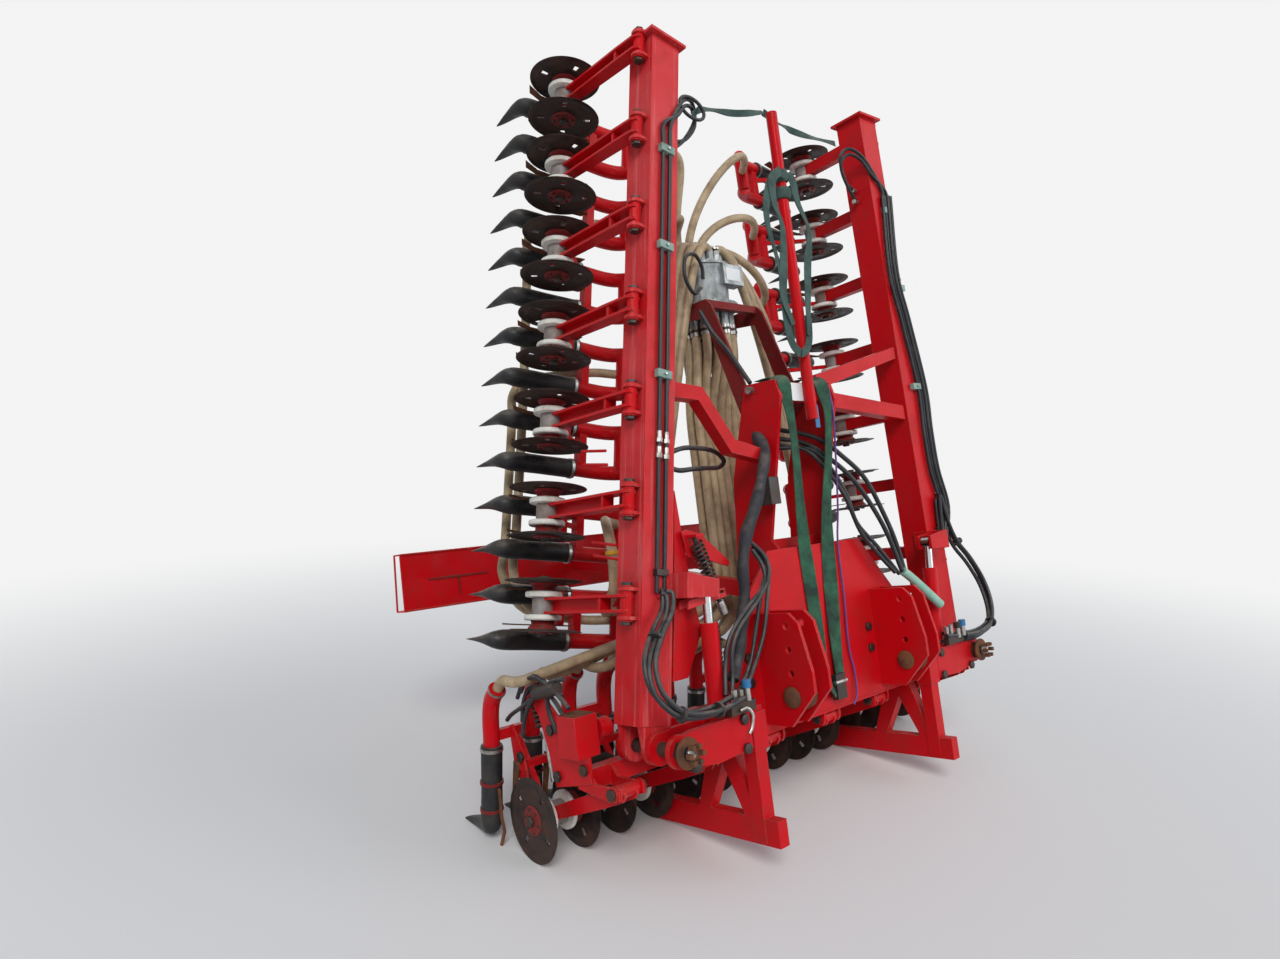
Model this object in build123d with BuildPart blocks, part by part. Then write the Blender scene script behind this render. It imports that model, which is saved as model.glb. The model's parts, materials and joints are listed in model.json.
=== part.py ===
from build123d import *
import math
import os

# Folded three-point slurry injector, millimetres.
# Machine frame: +X to the left-hand side, -Y to the tractor, +Z up, z = 0 at the lowest point of the discs.
# The wings are drawn as when unfolded, then folded about their hinges, and all is tilted as it parks.

# Rows of discs
DISC_PITCH = 190.0
ARM_PITCH = 2 * DISC_PITCH
CENTRE_ARMS = 7
WING_ARMS = 7

# Beams
BEAM_FRONT = -216.0
BEAM_DEPTH = 144.0
BEAM_HEIGHT = 147.0
BEAM_TOP = 490.0
BEAM_WALL = 8.0
BEAM_END_PLATE = 12.0
END_PLATE_LIP = 22.0
BEAM_END_MARGIN = 90.0
CENTRE_BEAM_HALF = 2 * ARM_PITCH + BEAM_END_MARGIN
BEAM_BOTTOM = BEAM_TOP - BEAM_HEIGHT
BEAM_BACK = BEAM_FRONT + BEAM_DEPTH
BEAM_MIDDLE = BEAM_FRONT + BEAM_DEPTH / 2

# Fold hinges
HINGE_REACH = 170.0
HINGE_X = CENTRE_BEAM_HALF + HINGE_REACH
HINGE_DROP = 60.0
HINGE_Z = BEAM_TOP - HINGE_DROP
EAR_THICK = 20.0
EAR_RADIUS = 58.0
EAR_GAP = 5.0
PIN_RADIUS = 25.0
PIN_CLEARANCE = 0.1
NUT_RADIUS = 42.0
NUT_THICK = 28.0
WING_BEAM_START = 75.0
WING_BEAM_END = 2830.0
LEAN_RIGHT = 10.25
LEAN_LEFT = 1.9
PARKING_TILT = 11.87

# Disc elements
DISC_RADIUS = 160.0
DISC_SIDES = 28
DISC_THICK = 6.0
DISC_BEVEL = 15.0
RING_RADIUS = 74.0
RING_THICK = 24.0
RING_SIDES = 16
CAP_RADIUS = 34.0
CAP_THICK = 16.0
HOUSING_RADIUS = 44.0
HOUSING_SIDES = 16
HOUSING_LENGTH = 66.0
HOUSING_GAP = 0.5
AXLE_RADIUS = 15.0
AXLE_CLEARANCE = 0.1
PIVOT_Y = -165.0
PIVOT_Z = BEAM_BOTTOM - 30.0
HUB_Y = 301.0
HUB_Z = DISC_RADIUS
WING_ARM_LIFT = 14.7
ARM_PLATE = 10.0
ARM_HALF_WIDTH = 32.0
ARM_ROOT = 36.0
ARM_STRAIGHT = 110.0
ARM_NECK = 24.0
LUG_THICK = 12.0
LUG_RADIUS = 32.0
BOSS_RADIUS = 24.0
BOSS_SIDES = 12
LUG_HALF_GAP = 46.0

# Coulter blades and slurry outlets
BLADE_THICK = 5.0
BLADE_INSET = 25.0
BLADE_BAR = 30.0
BLADE_BAR_Y = 420.0
OUTLET_SHIFT = 40.0
WING_OUTLET_LIFT = 93.0
ELBOW_RADIUS = 32.0
TUBE_RADIUS = 42.0
TUBE_GAP = 3.0
PIPE_SIDES = 8
ELBOW = ((495.0, 430.0), (480.0, 545.0), (455.0, 610.0), (405.0, 655.0))
CROSS_PIPE = (417.0, 643.0)
TUBE_TOP = ELBOW[0]
TUBE_BOTTOM = (548.0, 150.0)
TAIL_TIP_Y = 775.0
TAIL_HEEL_Y = 585.0
TAIL_TIP_WIDTH = 10.0
CARRIER = 40.0
CARRIER_RISE = 35.0


def turned(y, z, angle):
    """A point of an arm after the arm swings up by an angle about its pivot."""
    c, s = math.cos(math.radians(angle)), math.sin(math.radians(angle))
    dy, dz = y - PIVOT_Y, z - PIVOT_Z
    return PIVOT_Y + dy * c - dz * s, PIVOT_Z + dy * s + dz * c


def along_x(x, y=0.0, z=0.0):
    """A sketch plane across the machine's X axis, with local x along +Y and local y along +Z."""
    return Plane(origin=(x, y, z), x_dir=(0, 1, 0), z_dir=(1, 0, 0))


def along_y(y, x=0.0, z=0.0):
    """A sketch plane facing forward, with local x along +X and local y along +Z."""
    return Plane(origin=(x, y, z), x_dir=(1, 0, 0), z_dir=(0, -1, 0))


CENTRE_XS = [ARM_PITCH * (i - (CENTRE_ARMS - 1) / 2) for i in range(CENTRE_ARMS)]
FIRST_WING_X = CENTRE_XS[-1] + ARM_PITCH
WING_XS = [FIRST_WING_X + ARM_PITCH * i for i in range(WING_ARMS)]
WING_HUB = turned(HUB_Y, HUB_Z, WING_ARM_LIFT)

pieces = []


def keep(part, name, place="root"):
    """Labels a finished piece and notes which body it goes with."""
    part.label = name
    pieces.append((part, name, place))


# Centre beam: a box tube across the machine, with a pair of lugs under it for each arm
with BuildPart() as centre_beam:
    with BuildSketch(along_x(-CENTRE_BEAM_HALF)):
        with Locations((BEAM_MIDDLE, BEAM_TOP - BEAM_HEIGHT / 2)):
            Rectangle(BEAM_DEPTH, BEAM_HEIGHT)
            Rectangle(BEAM_DEPTH - 2 * BEAM_WALL, BEAM_HEIGHT - 2 * BEAM_WALL, mode=Mode.SUBTRACT)
    extrude(amount=2 * CENTRE_BEAM_HALF)
    for end in (-CENTRE_BEAM_HALF, CENTRE_BEAM_HALF - BEAM_END_PLATE):
        with BuildSketch(along_x(end)):
            with Locations((BEAM_MIDDLE, BEAM_TOP - BEAM_HEIGHT / 2)):
                Rectangle(BEAM_DEPTH, BEAM_HEIGHT)
        extrude(amount=BEAM_END_PLATE)
    for x in CENTRE_XS:
        if abs(x) + LUG_HALF_GAP + LUG_THICK > CENTRE_BEAM_HALF:
            continue
        for inner in (LUG_HALF_GAP, -LUG_HALF_GAP - LUG_THICK):
            with BuildSketch(along_x(x + inner)):
                with Locations((PIVOT_Y, PIVOT_Z)):
                    RegularPolygon(LUG_RADIUS, BOSS_SIDES)
                with Locations((PIVOT_Y, (PIVOT_Z + BEAM_BOTTOM) / 2)):
                    Rectangle(2 * LUG_RADIUS, BEAM_BOTTOM - PIVOT_Z)
            extrude(amount=LUG_THICK)
keep(centre_beam.part, "centre_beam")


def arm_outline(hub):
    """Points of an arm's side plate, from its pivot to its hub."""
    angle = math.atan2(hub[1] - PIVOT_Z, hub[0] - PIVOT_Y)
    c, s = math.cos(angle), math.sin(angle)
    reach = math.hypot(hub[1] - PIVOT_Z, hub[0] - PIVOT_Y)

    def at(along, across):
        return PIVOT_Y + along * c - across * s, PIVOT_Z + along * s + across * c

    return [
        at(-ARM_ROOT * 0.6, -ARM_ROOT * 0.6),
        at(0, -ARM_ROOT),
        at(ARM_STRAIGHT, -ARM_ROOT),
        at(reach, -ARM_NECK),
        at(reach, ARM_NECK),
        at(ARM_STRAIGHT, ARM_NECK),
        at(0, ARM_NECK),
        at(-ARM_ROOT * 0.6, ARM_NECK * 0.6),
    ]


# Ground line of the parked machine, in the machine frame: the discs, the skids' rear ends and the outlets meet it
TILT_TAN = math.tan(math.radians(PARKING_TILT))
TILT_COS = math.cos(math.radians(PARKING_TILT))


def ground_at(y):
    """Height of the floor under the parked machine at a place along it, in the machine frame."""
    return HUB_Z + (y - HUB_Y) * TILT_TAN - DISC_RADIUS / TILT_COS


def outlet_offsets(centre_x, shift):
    """Where an arm's two outlets lie beside it, each shifted from its disc; the middle arm's two are set apart."""
    if centre_x == 0:
        return -DISC_PITCH / 2 - shift, DISC_PITCH / 2 + shift
    way = math.copysign(shift, centre_x)
    return -DISC_PITCH / 2 + way, DISC_PITCH / 2 + way


def make_arm(hub, lift, offsets, joined=False):
    """One arm about x = 0: two side plates, a web, the pivot boss and the hub's housing, then the link, the bar
    and the two elbows that the outlets hang from, and the bar that holds the coulter blades. A wing's elbows are
    joined by a cross pipe, which one hose feeds."""
    outline = arm_outline(hub)
    web = [outline[5], outline[4]]
    web += [(y, z - ARM_PLATE) for y, z in reversed(web)]
    link_y, link_z = hub[0] + HOUSING_RADIUS * 0.7, hub[1] + HOUSING_RADIUS * 0.5
    bar_y, bar_z = TUBE_TOP[0] - 5, TUBE_TOP[1] + lift + CARRIER_RISE
    blade_bar_z = link_z + (bar_z - link_z) * (BLADE_BAR_Y - link_y) / (bar_y - link_y)
    link_x = math.copysign(20.0, sum(offsets)) if sum(offsets) else 0.0
    with BuildPart() as arm:
        for inner in (ARM_HALF_WIDTH - ARM_PLATE, -ARM_HALF_WIDTH):
            with BuildSketch(along_x(inner)):
                with BuildLine():
                    Polyline(*outline, close=True)
                make_face()
            extrude(amount=ARM_PLATE)
        with BuildSketch(along_x(-ARM_HALF_WIDTH)):
            with BuildLine():
                Polyline(*web, close=True)
            make_face()
        extrude(amount=2 * ARM_HALF_WIDTH)
        with BuildSketch(along_x(-LUG_HALF_GAP, PIVOT_Y, PIVOT_Z)):
            RegularPolygon(BOSS_RADIUS, BOSS_SIDES)
        extrude(amount=2 * LUG_HALF_GAP)
        with BuildSketch(along_x(-HOUSING_LENGTH / 2, *hub)):
            RegularPolygon(HOUSING_RADIUS, HOUSING_SIDES)
        extrude(amount=HOUSING_LENGTH)
        with BuildSketch(along_x(link_x - ARM_PLATE)):
            with BuildLine():
                Polyline(
                    (link_y, link_z - CARRIER / 2),
                    (link_y, link_z + CARRIER / 2),
                    (bar_y, bar_z + CARRIER / 2),
                    (bar_y, bar_z - CARRIER / 2),
                    close=True,
                )
            make_face()
        extrude(amount=2 * ARM_PLATE)
        with BuildSketch(along_x(offsets[0])):
            with Locations((bar_y, bar_z)):
                Rectangle(CARRIER, CARRIER)
        extrude(amount=offsets[1] - offsets[0])
        with BuildSketch(along_x(-DISC_PITCH / 2 + BLADE_INSET)):
            with Locations((BLADE_BAR_Y, blade_bar_z)):
                Rectangle(BLADE_BAR, BLADE_BAR)
        extrude(amount=DISC_PITCH - 2 * BLADE_INSET)
        for offset in offsets:
            with BuildLine():
                route = Polyline(*[(offset, y, z + lift) for y, z in ELBOW])
            with BuildSketch(Plane(origin=route @ 0, x_dir=(1, 0, 0), z_dir=route % 0)):
                RegularPolygon(ELBOW_RADIUS, PIPE_SIDES)
            sweep(path=route, transition=Transition.RIGHT)
        if joined:
            with BuildSketch(along_x(offsets[0], CROSS_PIPE[0], CROSS_PIPE[1] + lift)):
                RegularPolygon(ELBOW_RADIUS, PIPE_SIDES)
            extrude(amount=offsets[1] - offsets[0])
        with BuildSketch(along_x(-HOUSING_LENGTH / 2, *hub)):
            Circle(AXLE_RADIUS + AXLE_CLEARANCE)
        extrude(amount=HOUSING_LENGTH, mode=Mode.SUBTRACT)
    return arm.part


def make_blades(hub, lift):
    """The two curved coulter blades of one arm about x = 0, which stand at the ends of its blade bar."""
    with BuildPart() as blades:
        for face in (-DISC_PITCH / 2 + BLADE_INSET - BLADE_THICK, DISC_PITCH / 2 - BLADE_INSET):
            with BuildSketch(along_x(face, HUB_Y, hub[1])):
                with BuildLine():
                    Polyline(
                        (100, 200),
                        (143, 200),
                        (178, 60),
                        (190, -30),
                        (172, -95),
                        (128, -124),
                        (158, -40),
                        (146, 60),
                        close=True,
                    )
                make_face()
            extrude(amount=BLADE_THICK)
    return blades.part


def make_outlet(lift):
    """One outlet about x = 0: a rubber tube and its mouth, a tail that narrows to a point at the back."""
    heel = ground_at(TAIL_HEEL_Y) + 6
    tip = ground_at(TAIL_TIP_Y)
    with BuildPart() as tail:
        with BuildSketch(along_x(-TUBE_RADIUS)):
            with BuildLine():
                Polyline(
                    (TUBE_BOTTOM[0] - TUBE_RADIUS * 0.94, TUBE_BOTTOM[1] + 4),
                    (TUBE_BOTTOM[0] + TUBE_RADIUS * 0.94, TUBE_BOTTOM[1] + 20),
                    (TUBE_BOTTOM[0] + 100, TUBE_BOTTOM[1] - 15),
                    (TAIL_TIP_Y, tip + 10),
                    (TAIL_TIP_Y, tip),
                    (TAIL_HEEL_Y, heel),
                    (TUBE_BOTTOM[0] - 30, TUBE_BOTTOM[1] - 45),
                    close=True,
                )
            make_face()
        extrude(amount=2 * TUBE_RADIUS)
        with BuildSketch(Plane.XY):
            with BuildLine():
                Polyline(
                    (-TUBE_RADIUS * 0.94, TUBE_BOTTOM[0] - 60),
                    (TUBE_RADIUS * 0.94, TUBE_BOTTOM[0] - 60),
                    (TUBE_RADIUS * 0.86, TUBE_BOTTOM[0] + 60),
                    (TAIL_TIP_WIDTH / 2, TAIL_TIP_Y + 1),
                    (-TAIL_TIP_WIDTH / 2, TAIL_TIP_Y + 1),
                    (-TUBE_RADIUS * 0.86, TUBE_BOTTOM[0] + 60),
                    close=True,
                )
            make_face()
        extrude(amount=TUBE_TOP[1], mode=Mode.INTERSECT)
    with BuildPart() as outlet:
        direction = Vector(0, TUBE_BOTTOM[0] - TUBE_TOP[0], TUBE_BOTTOM[1] - TUBE_TOP[1])
        top = Vector(0, *TUBE_TOP) + direction.normalized() * TUBE_GAP
        with BuildSketch(Plane(origin=top, x_dir=(1, 0, 0), z_dir=direction)):
            RegularPolygon(TUBE_RADIUS, PIPE_SIDES)
        extrude(amount=direction.length - TUBE_GAP)
        add(tail.part)
    return outlet.part.moved(Location((0, 0, lift)))


def make_disc_pair(hub):
    """Two discs about x = 0, with their rings and caps, on one axle."""
    half = DISC_PITCH / 2
    face = HOUSING_LENGTH / 2 + HOUSING_GAP
    with BuildPart() as pair:
        with BuildSketch(along_x(-face, *hub)):
            Circle(AXLE_RADIUS)
        extrude(amount=2 * face)
        for side in (-1, 1):
            with BuildSketch(along_x(side * face, *hub)):
                RegularPolygon(RING_RADIUS, RING_SIDES)
            extrude(amount=side * RING_THICK)
            with BuildSketch(along_x(side * (face + RING_THICK), *hub)):
                RegularPolygon(CAP_RADIUS, RING_SIDES)
            extrude(amount=side * (half + CAP_THICK - face - RING_THICK))
            with BuildSketch(along_x(side * (half - DISC_THICK / 2), *hub)):
                RegularPolygon(DISC_RADIUS, DISC_SIDES)
            with BuildSketch(along_x(side * (half + DISC_THICK / 2), *hub)):
                RegularPolygon(DISC_RADIUS - DISC_BEVEL, DISC_SIDES)
            loft()
    return pair.part


CENTRE_HUB = (HUB_Y, HUB_Z)
CENTRE_OUTLET_XS = [x + offset for x in CENTRE_XS for offset in outlet_offsets(x, OUTLET_SHIFT)]

with BuildPart() as centre_arms:
    for way in (-1, 0, 1):
        with Locations(*[(x, 0, 0) for x in CENTRE_XS if (x > 0) - (x < 0) == way]):
            add(make_arm(CENTRE_HUB, 0, outlet_offsets(way, OUTLET_SHIFT)))
keep(centre_arms.part, "centre_arms")

with BuildPart() as centre_blades:
    with Locations(*[(x, 0, 0) for x in CENTRE_XS]):
        add(make_blades(CENTRE_HUB, 0))
keep(centre_blades.part, "centre_blades")

with BuildPart() as centre_outlets:
    with Locations(*[(x, 0, 0) for x in CENTRE_OUTLET_XS]):
        add(make_outlet(0))
keep(centre_outlets.part, "centre_outlets")

CENTRE_PAIR = make_disc_pair(CENTRE_HUB)
for number, x in enumerate(CENTRE_XS, 1):
    with BuildPart() as disc_pair:
        with Locations((x, 0, 0)):
            add(CENTRE_PAIR)
    keep(disc_pair.part, f"disc_pair_centre_{number}")

# Hinge ears on the centre beam's ends, and the foot of each fold cylinder between the two front ones
CYLINDER_Y = -276.0
FRONT_EAR = -317.0
EAR_INNER = CENTRE_BEAM_HALF - 185.0
FOOT_X = HINGE_X - 250.0
FOOT_Z = BEAM_TOP - 30.0
FOOT_HALF_GAP = 26.0
FOOT_PLATE = 14.0
RIB_X = EAR_INNER + 25.0
RIB_THICK = 20.0
with BuildPart() as hinge_brackets:
    for side in (-1, 1):
        for face in (FRONT_EAR, BEAM_FRONT, BEAM_BACK + EAR_THICK):
            with BuildSketch(along_y(face)):
                with BuildLine():
                    Polyline(
                        (side * EAR_INNER, BEAM_BOTTOM + 15),
                        (side * EAR_INNER, BEAM_TOP),
                        (side * (HINGE_X - 60), BEAM_TOP),
                        (side * (HINGE_X + 35), HINGE_Z + EAR_RADIUS - 10),
                        (side * (HINGE_X + 30), HINGE_Z - EAR_RADIUS + 8),
                        (side * CENTRE_BEAM_HALF, BEAM_BOTTOM + 5),
                        close=True,
                    )
                make_face()
                with Locations((side * HINGE_X, HINGE_Z)):
                    Circle(EAR_RADIUS)
                    Circle(PIN_RADIUS + PIN_CLEARANCE, mode=Mode.SUBTRACT)
            extrude(amount=EAR_THICK)
        for face in (CYLINDER_Y - FOOT_HALF_GAP, CYLINDER_Y + FOOT_HALF_GAP + FOOT_PLATE):
            with BuildSketch(along_y(face)):
                with BuildLine():
                    Polyline(
                        (side * (FOOT_X - 70), FOOT_Z - 60),
                        (side * (FOOT_X - 35), FOOT_Z + 40),
                        (side * (FOOT_X + 35), FOOT_Z + 40),
                        (side * (FOOT_X + 60), FOOT_Z - 60),
                        close=True,
                    )
                make_face()
            extrude(amount=FOOT_PLATE)
        with BuildSketch(along_x(side * RIB_X)):
            with BuildLine():
                Polyline(
                    (FRONT_EAR, BEAM_BOTTOM + 20),
                    (FRONT_EAR, BEAM_TOP),
                    (BEAM_FRONT - EAR_THICK, BEAM_TOP),
                    (BEAM_FRONT - EAR_THICK, BEAM_BOTTOM + 20),
                    close=True,
                )
            make_face()
        extrude(amount=side * RIB_THICK)
keep(hinge_brackets.part, "hinge_brackets")

PIN_FRONT = FRONT_EAR - EAR_THICK
PIN_BACK = BEAM_BACK + EAR_THICK
PIN_HEAD = 12.0
with BuildPart() as hinge_pins:
    for side in (-1, 1):
        with BuildSketch(along_y(PIN_BACK + PIN_HEAD, side * HINGE_X, HINGE_Z)):
            Circle(NUT_RADIUS)
        extrude(amount=PIN_HEAD)
        with BuildSketch(along_y(PIN_BACK, side * HINGE_X, HINGE_Z)):
            Circle(PIN_RADIUS)
        extrude(amount=PIN_BACK - PIN_FRONT + NUT_THICK + 10)
        with BuildSketch(along_y(PIN_FRONT, side * HINGE_X, HINGE_Z)):
            RegularPolygon(NUT_RADIUS, 6)
        extrude(amount=NUT_THICK)
keep(hinge_pins.part, "hinge_pins")

# Headstock: the front panel, the hitch plates and the tower
PANEL_THICK = 12.0
PANEL_FACE = BEAM_FRONT - PANEL_THICK
PANEL_BOTTOM = BEAM_BOTTOM + 20.0
PANEL_PEAK = 1060.0
PANEL_PEAK_SPREAD = 130.0
TOWER_X = 190.0
with BuildPart() as headstock_panel:
    with BuildSketch(along_y(BEAM_FRONT)):
        with BuildLine():
            Polyline(
                (-560, PANEL_BOTTOM),
                (560, PANEL_BOTTOM),
                (640, BEAM_TOP),
                (640, 700),
                (TOWER_X + PANEL_PEAK_SPREAD, PANEL_PEAK),
                (-TOWER_X - PANEL_PEAK_SPREAD, PANEL_PEAK),
                (-640, 700),
                (-640, BEAM_TOP),
                close=True,
            )
        make_face()
    extrude(amount=PANEL_THICK)
keep(headstock_panel.part, "headstock_panel")

HITCH_X = 400.0
HITCH_Y = -383.0
HITCH_HALF_GAP = 40.0
HITCH_PLATE = 15.0
HITCH_HOLE = 14.5
HITCH_HOLES_Z = (589.0, 680.0, 771.0)
with BuildPart() as hitch_plates:
    for side in (-1, 1):
        for inner in (HITCH_HALF_GAP, -HITCH_HALF_GAP - HITCH_PLATE):
            with BuildSketch(along_x(side * HITCH_X + inner)):
                with BuildLine():
                    Polyline(
                        (PANEL_FACE, 385),
                        (PANEL_FACE, 820),
                        (HITCH_Y - 20, 820),
                        (HITCH_Y - 60, 780),
                        (HITCH_Y - 100, 600),
                        (HITCH_Y - 100, 520),
                        (HITCH_Y + 30, 385),
                        close=True,
                    )
                make_face()
                for z in HITCH_HOLES_Z:
                    with Locations((HITCH_Y, z)):
                        Circle(HITCH_HOLE, mode=Mode.SUBTRACT)
            extrude(amount=HITCH_PLATE)
keep(hitch_plates.part, "hitch_plates")

TOWER_PLATE = 16.0
TOWER_PIN = (-150.0, 1755.0)
TOWER_PIN_RADIUS = 16.0
CROSS_BOX = (-285.0, -225.0, 1690.0, 1765.0)
with BuildPart() as tower:
    for side in (-1, 1):
        with BuildSketch(along_x(side * TOWER_X - TOWER_PLATE / 2)):
            with BuildLine():
                Polyline(
                    (-300, 1700),
                    (-280, 1775),
                    (-110, 1785),
                    (22, 1385),
                    (60, 1017),
                    (BEAM_BACK, BEAM_TOP),
                    (BEAM_FRONT, BEAM_TOP),
                    (BEAM_FRONT, 1017),
                    (-150, 1100),
                    close=True,
                )
            make_face()
            with Locations(TOWER_PIN):
                Circle(TOWER_PIN_RADIUS + PIN_CLEARANCE, mode=Mode.SUBTRACT)
        extrude(amount=TOWER_PLATE)
    with BuildSketch(along_x(-TOWER_X)):
        with Locations(((CROSS_BOX[0] + CROSS_BOX[1]) / 2, (CROSS_BOX[2] + CROSS_BOX[3]) / 2)):
            Rectangle(CROSS_BOX[1] - CROSS_BOX[0], CROSS_BOX[3] - CROSS_BOX[2])
    extrude(amount=2 * TOWER_X)
    with BuildSketch(along_x(-TOWER_X)):
        with Locations((-60, 1060)):
            Rectangle(80, 80)
    extrude(amount=2 * TOWER_X)
keep(tower.part, "tower")

with BuildPart() as tower_pin:
    with BuildSketch(along_x(-TOWER_X - 35, *TOWER_PIN)):
        Circle(TOWER_PIN_RADIUS)
    extrude(amount=2 * TOWER_X + 35 + TOWER_PLATE / 2)
keep(tower_pin.part, "tower_pin")

# Post for the hoses, on the front of the tower's cross box
POST_RADIUS = 25.0
POST_BOTTOM = 1600.0
POST_TOP = 2990.0
with BuildPart() as hose_post:
    with BuildSketch(Plane(origin=(-10, CROSS_BOX[0] - POST_RADIUS, POST_BOTTOM))):
        Circle(POST_RADIUS)
    extrude(amount=POST_TOP - POST_BOTTOM)
keep(hose_post.part, "hose_post")

# Outriggers beyond the beam's ends, which carry the outermost arm on each side
OUTRIGGER_REAR = -20.0
OUTER_X = CENTRE_XS[-1]
with BuildPart() as outriggers:
    for side in (-1, 1):
        inner_face = OUTER_X - LUG_HALF_GAP - LUG_THICK
        for x in (inner_face, OUTER_X + LUG_HALF_GAP):
            low = x if side > 0 else -x - LUG_THICK
            with BuildSketch(along_x(low)):
                with BuildLine():
                    Polyline(
                        (PIVOT_Y - 30, PIVOT_Z - 20),
                        (PIVOT_Y + 20, PIVOT_Z - 32),
                        (OUTRIGGER_REAR + 60, PIVOT_Z - 10),
                        (OUTRIGGER_REAR + 60, PIVOT_Z + 60),
                        (OUTRIGGER_REAR, PIVOT_Z + 60),
                        (BEAM_BACK + 10, PIVOT_Z + 20),
                        (PIVOT_Y - 30, PIVOT_Z + 20),
                        close=True,
                    )
                make_face()
            extrude(amount=LUG_THICK)
        start = CENTRE_BEAM_HALF - 120
        end = OUTER_X + LUG_HALF_GAP + LUG_THICK
        low = start if side > 0 else -end
        with BuildSketch(along_x(low)):
            with Locations((OUTRIGGER_REAR + 30, PIVOT_Z + 25)):
                Rectangle(60, 70)
        extrude(amount=end - start)
        with BuildSketch(along_x(side * (start + 40) - 40)):
            with BuildLine():
                Polyline(
                    (BEAM_BACK + EAR_THICK, BEAM_BOTTOM + 20),
                    (BEAM_BACK + EAR_THICK, BEAM_TOP - 20),
                    (OUTRIGGER_REAR + 60, PIVOT_Z + 60),
                    (OUTRIGGER_REAR + 60, PIVOT_Z - 10),
                    (OUTRIGGER_REAR, PIVOT_Z - 10),
                    close=True,
                )
            make_face()
        extrude(amount=80)
keep(outriggers.part, "outriggers")

# Parking stands: a skid with a post and two struts, which draws down out of its socket
STAND_X = CENTRE_BEAM_HALF - 230.0
SKID_WIDTH = 50.0
SKID_HEIGHT = 96.0
SKID_FRONT = -390.0
SKID_REAR = 300.0
SKID_BOTTOM = ground_at(SKID_REAR)
STAND_POST_Y = -300.0
STAND_POST = 60.0
STAND_POST_TOP = BEAM_TOP + 10.0
STAND_GAP = 0.5
STRUT = 50.0
SOCKET_WALL = 8.0
SOCKET_BOTTOM = BEAM_BOTTOM - 3.0
SOCKET_TOP = BEAM_TOP - 10.0
for side, name in ((-1, "right"), (1, "left")):
    with BuildPart() as stand:
        with BuildSketch(along_x(side * STAND_X - SKID_WIDTH / 2)):
            with Locations(((SKID_FRONT + SKID_REAR) / 2, SKID_BOTTOM + SKID_HEIGHT / 2)):
                Rectangle(SKID_REAR - SKID_FRONT, SKID_HEIGHT)
        extrude(amount=SKID_WIDTH)
        with BuildSketch(along_x(side * STAND_X - STAND_POST / 2)):
            with Locations((STAND_POST_Y, (SKID_BOTTOM + 10 + STAND_POST_TOP) / 2)):
                Rectangle(STAND_POST, STAND_POST_TOP - SKID_BOTTOM - 10)
        extrude(amount=STAND_POST)
        with BuildSketch(along_x(side * STAND_X - STRUT / 2)):
            with BuildLine():
                Polyline(
                    (BEAM_MIDDLE - 60, BEAM_BOTTOM - STAND_GAP),
                    (BEAM_MIDDLE + 60, BEAM_BOTTOM - STAND_GAP),
                    (30, SKID_BOTTOM + 60),
                    (-30, SKID_BOTTOM + 60),
                    (BEAM_MIDDLE, BEAM_BOTTOM - 70),
                    (-250, SKID_BOTTOM + 60),
                    (-305, SKID_BOTTOM + 60),
                    close=True,
                )
            make_face()
        extrude(amount=STRUT)
    keep(stand.part, f"parking_stand_{name}", f"parking_stand_{name}")

with BuildPart() as stand_sockets:
    outer = STAND_POST + 2 * STAND_GAP + 2 * SOCKET_WALL
    for side in (-1, 1):
        with BuildSketch(Plane(origin=(side * STAND_X, STAND_POST_Y, SOCKET_BOTTOM))):
            Rectangle(outer, outer)
            Rectangle(outer - 2 * SOCKET_WALL, outer - 2 * SOCKET_WALL, mode=Mode.SUBTRACT)
        extrude(amount=SOCKET_TOP - SOCKET_BOTTOM)
        with BuildSketch(Plane(origin=(side * STAND_X, (STAND_POST_Y + outer / 2 + PANEL_FACE) / 2, SOCKET_BOTTOM + 30))):
            Rectangle(outer, PANEL_FACE - STAND_POST_Y - outer / 2)
        extrude(amount=SOCKET_TOP - SOCKET_BOTTOM - 60)
keep(stand_sockets.part, "stand_sockets")

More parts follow.
